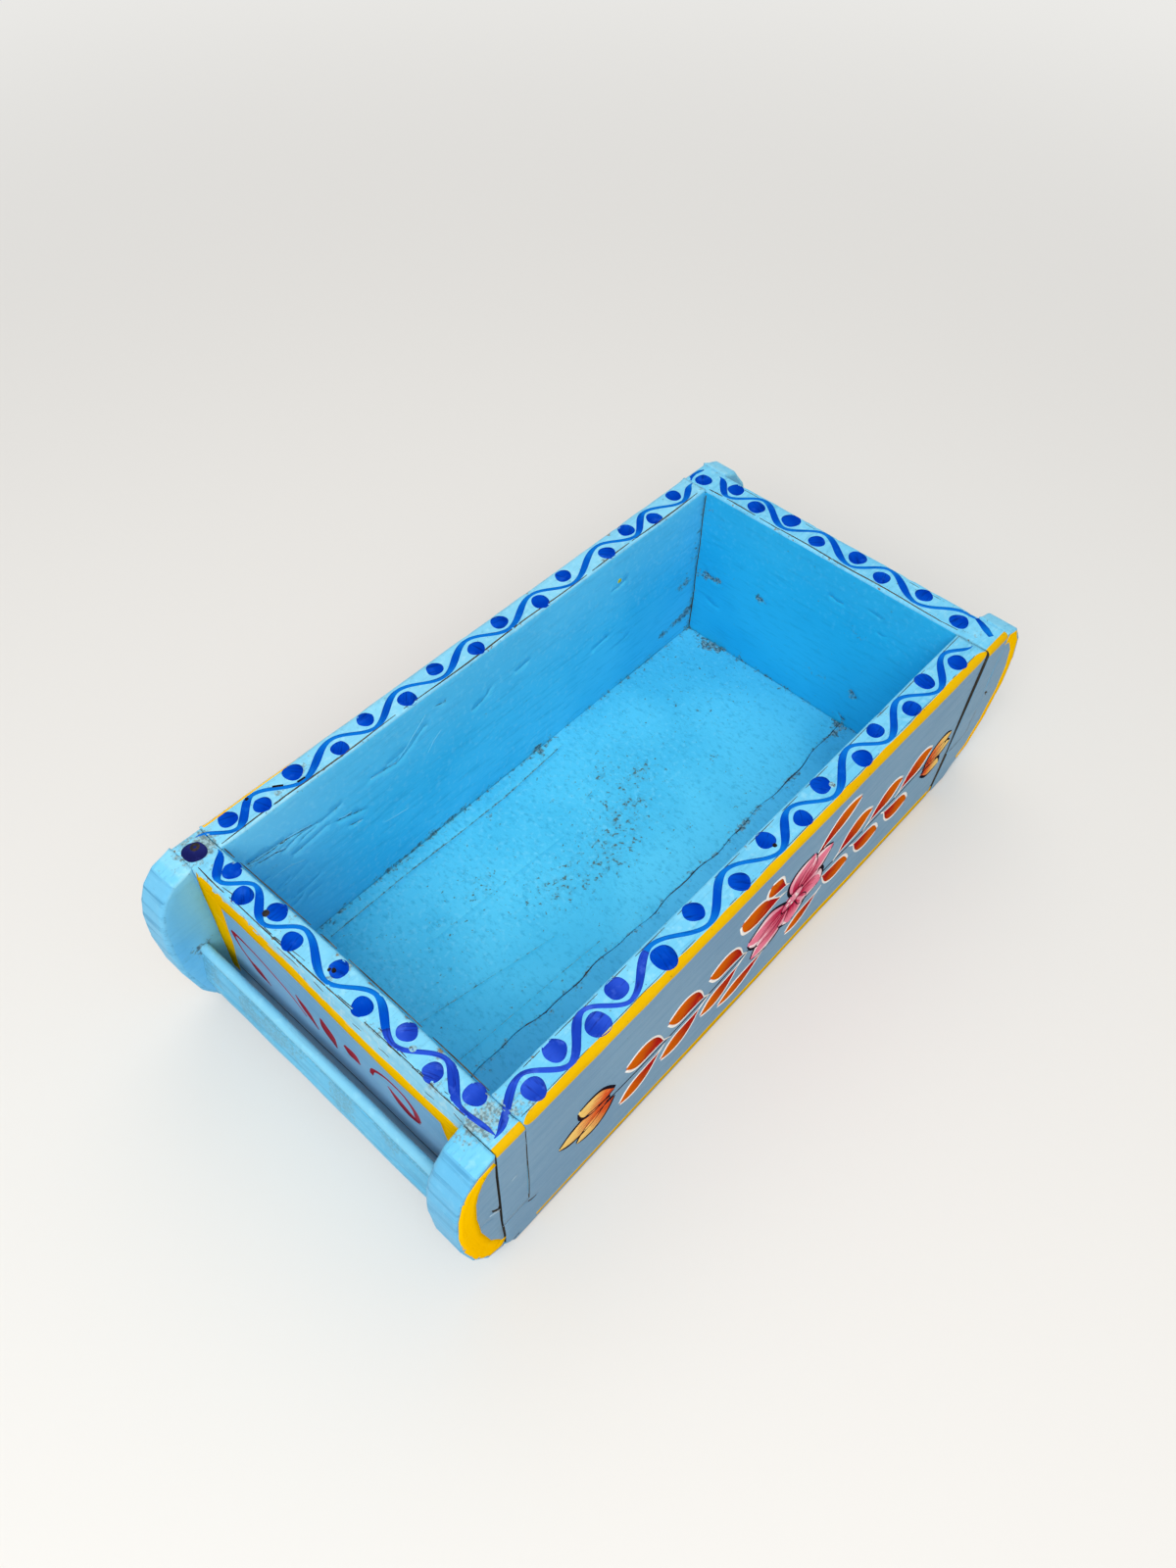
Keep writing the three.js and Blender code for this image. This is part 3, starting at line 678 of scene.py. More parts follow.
nearBoard = {
    **endBoard, "node": "end_board_near", "seed": 3, "thickness": -halfLength - nearFace, "chips": 26,
    "rounds": {**endRounds, "rim": (0.7, 1.4), "armEnd": (0.25, 0.2)}, "lay": nearLay, "frontZone": nearZone,
    "backZone": paintedTo("inside"),
    "frontCuts": [cut([(-58, 29), (-20, 29.6), (20, 28.8), (58, 29.2)], 0.5, 0.4, True)],
    # painted light: lightened behind the bar, because the photo's shadow there is lifted, and a little paler
    # on the rim
    "faded": lambda x, y, z: np.where((x < nearFace + 3) & (np.abs(y) < halfWidth),
                                      0.9 * smooth((58 - z) / 26), 0) + 0.15 * (z > rimSkin),
}

farBoard = {
    **endBoard, "node": "end_board_far", "seed": 4, "thickness": farFace - halfLength, "chips": 20,
    "rounds": {**endRounds, "rim": (1.3, 1.0), "armEnd": (0.25, 0.25)}, "lay": farLay,
    "backZone": paintedTo("farInside"),
    "backCuts": [
        cut([(53, 41.5), (50, 40.2), (46, 40.8)], 1.3, 0.8), cut([(26, 45.4), (23, 44.6)], 0.9, 0.5),
        cut([(-26, 26), (-28.5, 24)], 0.9, 0.7), cut([(-23, 10), (-25, 8.6)], 0.7, 0.5),
        *scratches(4, (-50, 45), (15, 72), (3, 7), 8),
    ],
    # painted light and shade on the inner face: paler towards the rim, deeper low down
    "faded": lambda x, y, z: np.where(x < halfLength + 0.5, 0.14 * smooth((z - 58) / 16)
                                      - 0.26 * smooth((58 - z) / 20), 0),
}

def floorJoint(x):  # the wavy joint between the plank and the strip along the right wall
    sag = np.clip(1 - ((x - 25) / 115) ** 2, 0, 1)
    return -24 - 3.6 * sag + 0.5 * math.sin(x / 7.3) + 0.35 * math.sin(x / 3.1 + 1)

floorEnd = halfLength - 0.1
jointPath = [(x, float(floorJoint(x))) for x in np.linspace(-floorEnd, floorEnd, 180)]
stripPath = [(x, y - 0.24 - 0.12 * math.sin(x / 11)) for x, y in jointPath][::-1]

floorSmudges = [  # along and across, reach both ways and strength
    (116, 46, 3, 4, 0.7), (118, 41, 2, 3, 0.7), (119, -24.5, 2, 2, 0.7), (114, -26.6, 3, 1.6, 0.7),
    (83, -28.4, 5, 1.4, 0.5), (48, -27.9, 6, 1.2, 0.45), (68, 2.6, 2, 1.4, 0.8), (-18, 49.2, 2, 1.4, 0.8),
    (16.5, 51.4, 2, 1.4, 0.7), (20, 57, 4, 1.4, 0.6), (2, 9.6, 3, 1.6, 0.5), (6, 36, 1.6, 1.4, 0.6),
]
speckSpots = [  # where flecks gather: along and across, reach both ways and strength
    (12, 7, 25, 13, 0.66), (-2, -2, 14, 9, 0.35), (26, 16, 14, 7, 0.3), (40, 20, 9, 6, 0.6),
    (60, -20, 5, 3, 0.5), (-24, 6, 14, 9, 0.55), (-42, 28, 10, 7, 0.5), (29, 32, 14, 5, 0.55),
    (90, 30, 30, 20, 0.25), (-70, 20, 34, 22, 0.15), (-95, -30, 20, 14, 0.2), (50, -40, 50, 8, 0.2),
]

def floorDirt(x, y, z):
    side = np.exp(-(halfWidth - np.abs(y)) / 2.4) * 0.5 + np.exp(-(halfLength - np.abs(x)) / 2.4) * 0.45
    joint = np.exp(-np.abs(y - np.array([floorJoint(v) for v in x])) / 1.5) * 0.45
    return side + joint + spots(x, y, floorSmudges)

def floorSpecks(x, y, z):
    return np.minimum(0.08 + spots(x, y, speckSpots), 1.15)

floorPlank = {
    **plainBoard, "node": "floor_plank", "slot": "painted_floor", "seed": 5, "thickness": floorTop,
    "runs": [("joint", jointPath), ("edge", [jointPath[-1], (floorEnd, halfWidth - 0.1),
                                             (-floorEnd, halfWidth - 0.1), jointPath[0]])],
    "rounds": {"joint": (0.4, 0.2), "edge": (0.3, 0.2)}, "gap": 2.2, "chips": 20, "chipTags": ("joint",),
    "lay": lambda x, y, depth: (x, y, floorTop - depth), "frontZone": lambda x, y: "floor",
    "edgeZone": lambda tag, strip: "floor" if strip == "front" else "wood", "backZone": lambda x, y: "wood",
    "frontCuts": [
        cut([(-96, 52.8), (-60, 53), (-32, 52), (-6, 51.4), (28, 53.2)], 0.5, 0.5),
        cut([(-97, 3.2), (-68, -2), (-52, -5.2), (-40, -7.2)], 0.3, 0.3),
        cut([(-112, -16), (-90, -17.5), (-60, -19), (-30, -21)], 0.3, 0.28),
        cut([(-70, 24), (-30, 22.5), (-4, 21)], 0.25, 0.15), *scratches(6, (-30, 60), (-10, 30), (2, 5), 9),
    ],
    "grime": floorDirt, "speck": floorSpecks,
    # painted shade: darker towards the right wall and towards the far end
    "faded": lambda x, y, z: -0.6 * smooth((12 - y) / 36) - 0.15 * smooth((x - 40) / 50),
}

floorStrip = {
    **floorPlank, "node": "floor_strip", "seed": 6,
    "runs": [("joint", stripPath), ("edge", [stripPath[-1], (-floorEnd, 0.1 - halfWidth),
                                             (floorEnd, 0.1 - halfWidth), stripPath[0]])],
    # painted shade: the strip wears the darkened copy of the floor paint
    "edgeZone": lambda tag, strip: "strip" if strip == "front" else "wood",
    "frontZone": lambda x, y: "strip", "frontCuts": scratches(6, (-110, 100), (-55, -32), (4, 10), 10),
}

boards = []
for board in (rightBoard, leftBoard, nearBoard, farBoard, floorPlank, floorStrip):
    boards.append(carveBoard(board))
    print("board:", boards[-1].name, len(boards[-1].data.polygons), "faces")

# The handle bars

barShape = {"edge": 3.4, "belly": 5.6, "panel": 0.55, "groove": 0.8, "stations": 110, "seed": 21}

def barSection(height):  # out from the straight face, and up; the outer face is bellied
    bend = barShape["edge"] / 2
    arc = [k / 7 * math.pi for k in range(8)]
    section = [(0, z) for z in np.linspace(bend, height - bend, 8)[:-1]]
    section += [(bend - bend * math.cos(t), height - bend + bend * math.sin(t)) for t in arc]
    for k in range(1, 50):
        share = k / 50
        control = 2 * barShape["belly"] - barShape["edge"]
        out = barShape["edge"] * ((1 - share) ** 2 + share ** 2) + 2 * control * share * (1 - share)
        sunk = barShape["panel"] * float(smooth((share - 0.08) / 0.05) * smooth((0.55 - share) / 0.08))
        sunk += barShape["groove"] * math.exp(-((share - 0.06) / 0.022) ** 2)
        section.append((out - sunk, height - bend - share * (height - 2 * bend)))
    section += [(bend + bend * math.cos(t), bend - bend * math.sin(t)) for t in arc[:-1]]
    return np.array(section)

def handleBar(node, outward):
    low, high = nodeBox(node, middle)
    section = barSection(high[2] - low[2])
    inner = low[0] if outward > 0 else high[0]
    stations = np.linspace(low[1], high[1], barShape["stations"])
    points = []
    for y in stations:
        dip = noise.noise(Vector((y / 30, outward * 4.0, barShape["seed"]))) * 0.35
        for out, z in section:
            shave = noise.noise(Vector((y / 22, z / 7, outward * 3.0 + barShape["seed"]))) * 0.35
            points.append((inner + outward * (out * (1 + shave * 0.12) + shave * 0.25), y, low[2] + z + dip))
    points = np.array(points)
    faces = closedTube(len(stations) - 1, len(section))
    piece = meshPiece(node + "_slat", points, faces, node, [paints["bar"]])
    height = np.tile(section[:, 1] / section[:, 1].max(), len(stations))
    outside = np.tile(section[:, 0] > 0.3, len(stations))
    smear = np.clip(unevenness(points * (1, 1, 0.4), 11, 1.5, 5) + 0.5, 0.15, 0.8)
    panel = smooth((height - 0.2) / 0.5) * smooth((0.92 - height) / 0.04)
    # painted shade: the grime deepens along the crease under the top bead; it also grows towards both ends
    groove = np.exp(-((height - 0.895) / 0.02) ** 2) * 0.9
    ends = np.exp(-(halfWidth - np.abs(points[:, 1])) / 2.2) * 0.5
    setFloat(piece.data, "grime", np.where(outside, smear * panel + groove, 0) + ends)
    setFloat(piece.data, "wear", np.where(height > 0.95, 0.5, 0.0))
    # painted light: a highlight along the top bead, and the inner faces lightened
    setFloat(piece.data, "faded", np.where(outside, 0.5 * smooth((height - 0.9) / 0.05), 0.9))
    return piece

bars = [handleBar("handle_bar_near", -1), handleBar("handle_bar_far", 1)]
print("handle bars:", len(bars))

# The painted ornament

def strokePaint(look):
    # oil paint laid on in single strokes: two tones along the stroke, hair streaks from the brush and
    # thin places where the ground shows
    material, tree = newTree(look["name"])
    start, end, dark, thin = tonesOf(look)
    brush, share = [addNode(tree, "ShaderNodeAttribute", {"attribute_name": name}, None, "Vector")
                    for name in ("brush", "share")]
    combed = addNode(tree, "ShaderNodeMapping", None,
                     {"Vector": brush, "Scale": (look["hairRun"], 1 / look["hairSize"], 1)})
    hairs = addNode(tree, "ShaderNodeTexNoise", None, {"Vector": combed, "Scale": 1.0, "Detail": 4.0})
    place = addNode(tree, "ShaderNodeTexCoord", out="Object")
    patch = addNode(tree, "ShaderNodeTexNoise", None,
                    {"Vector": place, "Scale": 1000 / look["patchSize"], "Detail": 4.0})
    run = addNode(tree, "ShaderNodeSeparateXYZ", None, {0: share})
    along = addNode(tree, "ShaderNodeMath", scaledSum, {0: hairs, 1: look["hairBlend"], 2: run})
    _, colour = coat(tree, along, look["endRise"], 1, start, end)
    _, colour = coat(tree, hairs, look["hairRise"], look["hairShare"], colour, dark)
    _, colour = coat(tree, patch, look["thinRise"], look["thinShare"], colour, thin)
    shade(tree, hairs, look["bump"], 0.0002, {"Base Color": colour, "Roughness": look["roughness"],
                                              "IOR": paintIndex, "Specular IOR Level": 0.0})
    return material

plainStroke = {"hairSize": 0.5, "hairRun": 0.16, "hairBlend": 0.5, "patchSize": 4, "endRise": (0.45, 1.05),
               "hairRise": (0.5, 0.72), "hairShare": 0.4, "thinRise": (0.55, 0.72), "thinShare": 0.25,
               "roughness": 0.5, "bump": 0.35}
# tones: start, end, dark hairs and thin places
strokeLooks = {
    "cobalt": {"name": "cobalt blue oil paint in brush strokes", "tones": "#003ab0 #0349be #03226e #2462d6",
               "hairShare": 0.7, "hairSize": 0.8, "thinShare": 0.4},
    "thinCobalt": {"name": "cobalt blue oil paint drawn out thin",
                   "tones": "#024abc #0c70ce #04388e #1e7cd6", "hairShare": 0.5, "hairSize": 0.7},
    "wornCobalt": {"name": "cobalt blue oil paint rubbed and dusty",
                   "tones": "#1a3eb2 #2a50c8 #121c78 #4c6ed8", "hairShare": 0.7, "hairSize": 0.8,
                   "thinShare": 0.5},
    "indigo": {"name": "old indigo oil paint dabbed on", "tones": "#191c54 #222868 #141433 #34397c",
               "thinShare": 0.5},
    "yellow": {"name": "chrome yellow oil paint in brush strokes",
               "tones": "#fcbe00 #ffc600 #eeac00 #ffd020"},
    "splash": {"name": "chrome yellow oil paint splashed thin", "tones": "#c9c23a #d6cc44 #a8a83c #9fbe6a"},
    "lifted": {"name": "sky blue oil paint lifted along a score",
               "tones": "#74c8e6 #86d2ec #4fa6cc #a2def2", "hairShare": 0.3},
    "oldYellow": {"name": "chrome yellow oil paint gone dull", "tones": "#dcaa00 #e6b400 #c89400 #eec23c"},
    "leaf": {"name": "vermilion shaded oil paint in brush strokes",
             "tones": "#ac1c1a #d4640c #a82c10 #d8761c", "hairSize": 0.8, "hairShare": 0.5},
    "white": {"name": "white oil paint in thin liner strokes", "tones": "#f0ece4 #f6f3ec #d8d6d0 #ffffff",
              "hairShare": 0.2},
    "petal": {"name": "rose pink oil paint in shaded strokes", "tones": "#bc1844 #f0849c #cc3c62 #f4a4b6",
              "hairSize": 0.7, "hairShare": 0.5},
    "paleRose": {"name": "white and rose oil paint dragged along a petal",
                 "tones": "#e4869c #fbe0e2 #e07c94 #fff2f2", "hairSize": 0.4},
    "rose": {"name": "rose oil paint dabbed on a flower heart", "tones": "#dc6c88 #f0a4b4 #c84a6c #f6c6ce"},
    "splinter": {"name": "bared wood fibre gone pale", "tones": "#b4c8d2 #9fb8c8 #8ca4b2 #c8d6dc"},
    "black": {"name": "black oil paint in thin liner strokes", "tones": "#1c1620 #231b26 #120e14 #3a303c"},
    "bud": {"name": "cream to orange oil paint in shaded strokes",
            "tones": "#e85c22 #f4cc74 #e67c3c #f6d890", "hairSize": 0.7},
    "maroon": {"name": "maroon oil paint in brush strokes", "tones": "#8a2434 #963242 #6e1c2e #8a5060",
               "thinShare": 0.4},
    "soot": {"name": "black dirt packed into a dent", "tones": "#1c1917 #27221e #131110 #3a342e",
             "roughness": 0.8},
    "dirt": {"name": "dirt rubbed into a crack", "tones": "#443f33 #565040 #332f27 #6f7a74",
             "thinShare": 0.6, "roughness": 0.8},
}
strokePaints = {key: strokePaint({**plainStroke, **look}) for key, look in strokeLooks.items()}

boardPoints, boardFaces = [], []
for piece in boards:
    start = len(boardPoints)
    boardPoints += [Vector(p) for p in meshPoints(piece.data)]
    boardFaces += [[start + v for v in face.vertices] for face in piece.data.polygons]
boardTree = BVHTree.FromPolygons(boardPoints, boardFaces)

surfaces = {  # axis that the face looks along, its place, way out, how deep the wood may fall away, slot
    "rim": (2, rimHeight, 1, 0.7, "painted_side"), "rimEnd": (2, rimHeight, 1, 0.7, "painted_end"),
    "right": (1, rightFace, -1, 1.2, "painted_side"), "left": (1, leftFace, 1, 1.2, "painted_side"),
    "near": (0, nearFace, -1, 1.6, "painted_end"), "far": (0, farFace, 1, 1.2, "painted_end"),
    "leftInside": (1, halfWidth, -1, 1.2, "painted_side"),
    "farInside": (0, halfLength, -1, 1.2, "painted_end"),
}
castReach = 4  # how far over a face the rays start that find the wood, mm
filmDepth = 0.15  # how far a film's underside lies in the wood, mm
films = {}

def drape(surfaceName, a, b):  # the point of the wood under a stroke, and the way out from it
    axis, place, way, deepest, _ = surfaces[surfaceName]
    base = [a, b]
    base.insert(axis, place)
    base = Vector(base)
    out = Vector([way if k == axis else 0 for k in range(3)])
    far = boardTree.ray_cast(base + out * castReach, -out, 2 * castReach)[3]
    rise = castReach - far if far is not None else 0
    return base + out * (rise if rise > -deepest else 0), out

def brushStroke(film, paint, surfaceName, path, widths, lift=0.09, columns=5, tones=None):
    # one closed film of paint along a path, thin at its edges; the tones run from start to end colour
    sheet = films.setdefault(film, {"paint": paint, "slot": surfaces[surfaceName][-1], "points": [],
                                    "faces": [], "brush": [], "share": []})
    path = np.asarray(path, float)
    widths = np.broadcast_to(widths, len(path))
    beside = acrossPath(path)
    length = np.concatenate([[0], np.cumsum(np.linalg.norm(np.diff(path, axis=0), axis=1))])
    tones = length / length[-1] if tones is None else tones
    tone = random.random()
    start = len(sheet["points"])
    across = np.linspace(-1, 1, columns)
    for k in range(len(path)):
        for c in across:
            base, out = drape(surfaceName, *(path[k] + beside[k] * c * widths[k] / 2))
            crown = lift * (0.25 if abs(c) == 1 else 1)
            sheet["points"] += [base + out * crown, base - out * filmDepth]
            sheet["brush"] += [(length[k], c * widths[k] / 2 + tone * 50, tone * 9)] * 2
            sheet["share"] += [(tones[k], (c + 1) / 2, tone)] * 2
    def at(k, c, under):
        return start + 2 * (k * columns + c) + under
    last, edge, faces = len(path) - 1, columns - 1, sheet["faces"]
    for k in range(last):
        for c in range(edge):
            faces.append((at(k, c, 0), at(k, c + 1, 0), at(k + 1, c + 1, 0), at(k + 1, c, 0)))
            faces.append((at(k, c, 1), at(k + 1, c, 1), at(k + 1, c + 1, 1), at(k, c + 1, 1)))
        faces.append((at(k, 0, 0), at(k + 1, 0, 0), at(k + 1, 0, 1), at(k, 0, 1)))
        faces.append((at(k, edge, 0), at(k, edge, 1), at(k + 1, edge, 1), at(k + 1, edge, 0)))
    for c in range(edge):
        faces.append((at(0, c, 0), at(0, c, 1), at(0, c + 1, 1), at(0, c + 1, 0)))
        faces.append((at(last, c, 0), at(last, c + 1, 0), at(last, c + 1, 1), at(last, c, 1)))

def dab(film, paint, surfaceName, centre, radius, lift=0.1):  # a round touch of the brush
    turns = np.linspace(0.12, math.pi - 0.12, 15)
    lean = random.uniform(0, math.pi)
    direction = np.array([math.cos(lean), math.sin(lean)])
    reach = radius * (1 + 0.05 * np.sin(turns * 3 + lean * 5))
    path = np.array(centre) - np.outer(np.cos(turns) * reach, direction)
    brushStroke(film, paint, surfaceName, path, 2 * reach * np.sin(turns), lift, columns=7)

def alongStroke(count, stops, values):  # a value at each point of a stroke, from a few stops along it
    return np.interp(np.linspace(0, 1, count), stops, values)

def tapered(count, start, power=0.5):  # full in the middle of a stroke and thin at its ends
    return np.sin(np.linspace(start, math.pi - start, count)) ** power

def wander(path, size, seed):  # how a hand wanders along a path, -1 to 1
    return np.array([noise.noise(Vector((p[0] / size, p[1] / size, seed))) for p in path])

# the wave and dots along the rim: where each dot lies along its board, starting with an outer or inner
# one, how far the wave and the dots swing out, and which slope of the wave is pressed thick
borders = {
    "right": {"dots": (-111, -99, -85, -73, -56, -38, -20, -2, 13, 28, 47, 60, 77, 91, 107),
              "outerFirst": True, "ends": ((-128, 3.6), (118, 1.5)), "swing": 4.1, "dotShift": 1.8,
              "thick": -1, "lay": lambda s, t: (s, -64.7 - t), "size": 3.4, "face": "rim"},
    "left": {"dots": (-112, -101, -86, -69, -55, -39, -23, -6, 9, 27, 43, 64, 79, 92, 108),
             "outerFirst": True, "ends": ((-123, 3.4), (119.5, 1.2)), "swing": 3.6, "dotShift": 1.7,
             "thick": 1, "lay": lambda s, t: (s, 64.3 + t), "size": 3.2, "face": "rim"},
    "near": {"dots": (49.5, 40, 28, 17, 0, -14, -29, -43, -56), "outerFirst": False,
             "ends": ((59, -3.6), (-68, 2.6)), "swing": 3.5, "dotShift": 1.7, "thick": 1,
             "lay": lambda s, t: (-124.6 - t, s), "size": 3.35, "face": "rimEnd"},
    "far": {"dots": (50, 37.5, 22.5, 8, -9, -22, -39, -56), "outerFirst": True,
            "ends": ((60, 3.5), (-61, 4.2)), "swing": 4.2, "dotShift": 1.5, "thick": -1,
            "lay": lambda s, t: (127.0 + t, s), "size": 3.5, "face": "rimEnd"},
}

def handled(x, y):  # hands have worn the corner that is near and right
    return (x < -58) & (y < -24)

def waveBorder(name, border):
    stops = [border["ends"][0]]
    for k, s in enumerate(border["dots"]):
        outer = (k % 2 == 0) == border["outerFirst"]
        side = 1 if outer else -1
        stops.append((s, -side * border["swing"] * random.uniform(0.9, 1.05)))
        size = border["size"] * random.uniform(0.92, 1.08)
        if name == "right" and s < -50:  # the dots grow towards the near end
            size *= 1.14
        centre = border["lay"](s, side * border["dotShift"])
        if handled(*centre):
            dab("rim_worn_dots_" + name, "wornCobalt", border["face"], centre, size)
        else:
            dab("rim_dots_" + name, "cobalt", border["face"], centre, size)
    stops.append(border["ends"][1])
    path, slope = [], []
    for (s0, t0), (s1, t1) in zip(stops[:-1], stops[1:]):
        count = max(6, round(abs(s1 - s0)))
        for k in range(count):
            turn = k / count * math.pi
            swing = t0 + (t1 - t0) * (1 - math.cos(turn)) / 2
            path.append(border["lay"](s0 + (s1 - s0) * k / count, swing))
            slope.append((t1 - t0) * math.sin(turn) / abs(s1 - s0))
    path.append(border["lay"](*stops[-1]))
    slope.append(0)
    press = np.clip(np.array(slope) * border["thick"] / 0.5, 0, 1)
    ends = smooth(np.minimum(np.arange(len(path)), np.arange(len(path))[::-1]) / 6 + 0.25)
    wobble = wander(path, 9, 3)
    widths = (1.5 + 1.4 * press) * ends * (1 + 0.2 * wobble)
    path, tones = np.array(path), 1 - 0.8 * press
    worn = handled(*path.T)
    joined = np.convolve(worn, (1, 1, 1), "same") > 0  # so that the two films meet
    for film, paint, part in (("rim_wave_", "thinCobalt", ~worn), ("rim_worn_wave_", "wornCobalt", joined)):
        if part.any():
            brushStroke(film + name, paint, border["face"], path[part], widths[part], lift=0.08,
                        tones=tones[part])

for name, border in borders.items():
    waveBorder(name, border)
dab("rim_corner_dots", "indigo", "rimEnd", (-126.6, 63.4), 3.9)
dab("rim_corner_dots_far", "cobalt", "rimEnd", (124.2, 63.4), 3.4)
brushStroke("rim_wave_far", "thinCobalt", "rimEnd",
            [(131.6, -60), (130.4, -62.4), (128.8, -65.4), (127, -68.6)], (1.8, 2.2, 2.8, 2.0))
brushStroke("rim_wave_left", "thinCobalt", "rim",
            [(120.4, 67.2), (122.2, 68.3), (124.8, 68.7), (127.6, 68.2), (129.4, 67.4)],
            (1, 1.5, 1.6, 1.4, 0.6))
for path in ([(-94.4, 66), (-92.8, 64.9), (-91.6, 63.9)], [(-87.6, 61.6), (-84.6, 61.4)]):
    brushStroke("rim_dents", "soot", "rim", path, 1.1, lift=0.13, columns=3)
for place, radius in (((-124.2, 0.6), 0.9), ((-124.9, 1.8), 0.6), ((-1.6, -66.2), 0.8), ((-103, 68), 0.7)):
    dab("rim_dents", "soot", "rim", place, radius, lift=0.13)
print("rim border: dots and waves")

# the flower spray on the long sides
spray = {"flower": (10, 44), "stemHeight": 38, "leafPitch": 20.5, "leafWidth": 12}

def leafShape(base, tip, width, bend, steps=16, full=1.35):  # centre line and widths of a leaf or petal
    base, tip = np.array(base, float), np.array(tip, float)
    share = np.linspace(0, 1, steps)
    side = np.array([-(tip - base)[1], (tip - base)[0]])
    line = base + np.outer(share, tip - base) + np.outer(np.sin(share * math.pi) * bend, side)
    widths = width * np.sin(math.pi * np.clip(share, 0.01, 0.985) ** full) ** 0.75 + 0.15
    return line, widths

def paintLeaf(face, base, tip, width, bend):
    line, widths = leafShape(base, tip, width, bend)
    brushStroke("spray_leaves_" + face, "leaf", face, line, widths, lift=0.1)
    beside = acrossPath(line) * (widths[:, None] + 0.4) / 2
    tail = line[0] - (line[3] - line[0]) * random.uniform(0.8, 1.6)
    for way in (-1, 1):
        edge = np.vstack([tail, line + way * beside])
        pressure = alongStroke(len(edge), (0, 0.3, 0.8, 1), (0.4, 0.8, 1.35, 1.1))
        brushStroke("spray_leaf_lines_" + face, "white", face, edge, pressure, lift=0.14, columns=3)

def paintPetal(face, base, tip, width, bend, paint="petal"):
    line, widths = leafShape(base, tip, width, bend, 18, 1.15)
    brushStroke("spray_" + paint + "s_" + face, paint, face, line, widths, lift=0.17)
    beside = acrossPath(line) * widths[:, None] / 2
    for way in (-1, 1):
        edge = line + way * beside
        pressure = alongStroke(len(edge), (0, 0.4, 0.8, 1), (1.7, 1.4, 1.6, 0.6))
        brushStroke("spray_dark_lines_" + face, "black", face, edge, pressure, lift=0.22, columns=3)
        if paint == "petal":
            brushStroke("spray_petal_lights_" + face, "paleRose", face,
                        (line + way * beside * 0.66)[3:-1], widths[3:-1] * 0.26, lift=0.2, columns=3)
    for share in (-0.32, 0.04, 0.34):
        vein = line[1:12] + beside[1:12] * share
        pressure = np.linspace(0.9, 0.2, len(vein))
        brushStroke("spray_veins_" + face, "maroon", face, vein, pressure, lift=0.21, columns=3)

sprayLeaves = [  # leaves beside the flower: stem end, outer end, width
    ((0, 57), (-22, 66), 12.5), ((2, 62), (-8, 72), 8), ((21, 60), (43, 71), 10.5), ((30, 25), (13, 17.5), 9),
    ((-3, 24), (-26, 16.5), 9),
]
sprayPetals = [  # petals of the flower: degrees round its heart, length, width
    (66, 19, 17), (29, 22.5, 16), (-26, 19.5, 16), (-80, 17, 16), (-180, 23, 18), (-140, 24, 17),
]
sprayBuds = [  # petals of the two buds: base, tip, width
    ((-82, 43), (-98, 51.5), 11), ((-82, 36.5), (-98.5, 28.5), 11), ((-84, 40), (-106.5, 38.5), 11),
    ((98, 36.5), (114, 43.5), 9.5), ((98, 31), (112, 26.5), 9), ((98, 34), (115.5, 37), 9),
]

def paintSpray(face):
    flowerX, flowerZ = spray["flower"]
    stem = [(x, spray["stemHeight"] + 1.8 * math.sin(x / 21 + 1)) for x in np.linspace(-84, 98, 92)]
    brushStroke("spray_stem_" + face, "black", face, stem, 1.0, lift=0.06, columns=3)
    stemX, stemZ = np.array(stem).T
    for way in (-1, 1):
        for k in range(3):
            x = flowerX + way * (27 + spray["leafPitch"] * k) + (2 if way > 0 else 0)
            z = float(np.interp(x, stemX, stemZ))
            width = spray["leafWidth"] * random.uniform(0.9, 1.1)
            paintLeaf(face, (x, z + 2.5), (x + way * 18.5, z + 11), width, way * 0.08)
            low = x - 8 if way > 0 else x - 1.5
            paintLeaf(face, (low, z - 3.5), (low + way * 18.5, z - 13), width * 0.9, -way * 0.06)
    for base, tip, width in sprayLeaves:
        paintLeaf(face, base, tip, width, 0.06)
    for turn, reach, width in sprayPetals:
        way = np.array([math.cos(math.radians(turn)), math.sin(math.radians(turn))])
        base = np.array([flowerX, flowerZ]) + way * 1.5
        paintPetal(face, base, base + way * reach, width, 0.06)
    half = np.linspace(0.15, math.pi - 0.15, 13)
    oval = np.column_stack([flowerX - 5.6 * np.cos(half), flowerZ - 1.5 * np.cos(half)])
    brushStroke("spray_heart_" + face, "rose", face, oval, 10 * np.sin(half), lift=0.25)
    turns = np.linspace(0, math.tau, 28)
    ring = np.column_stack([5.6 * np.cos(turns), 1.5 * np.cos(turns) + 5 * np.sin(turns)]) + spray["flower"]
    brushStroke("spray_heart_line_" + face, "black", face, ring, 0.9, lift=0.27, columns=3)
    for k in range(5):
        turn = k * 2.4
        dab("spray_heart_dots_" + face, "white", face,
            (flowerX + 2.8 * math.cos(turn), flowerZ + 2.4 * math.sin(turn)), 0.7, lift=0.31)
    for base, tip, width in sprayBuds:
        paintPetal(face, base, tip, width, 0.05, "bud")

for face in ("right", "left"):
    paintSpray(face)
print("flower sprays: 2")

# yellow lines along the edges
def raggedLine(points, width, seed):  # a line whose width wanders as a hand-drawn one does
    path = wholePath(points, 1.5)
    drawn = alongStroke(len(path), np.linspace(0, 1, len(width)), width)
    return path, drawn * (1 + 0.16 * wander(path, 12, seed))

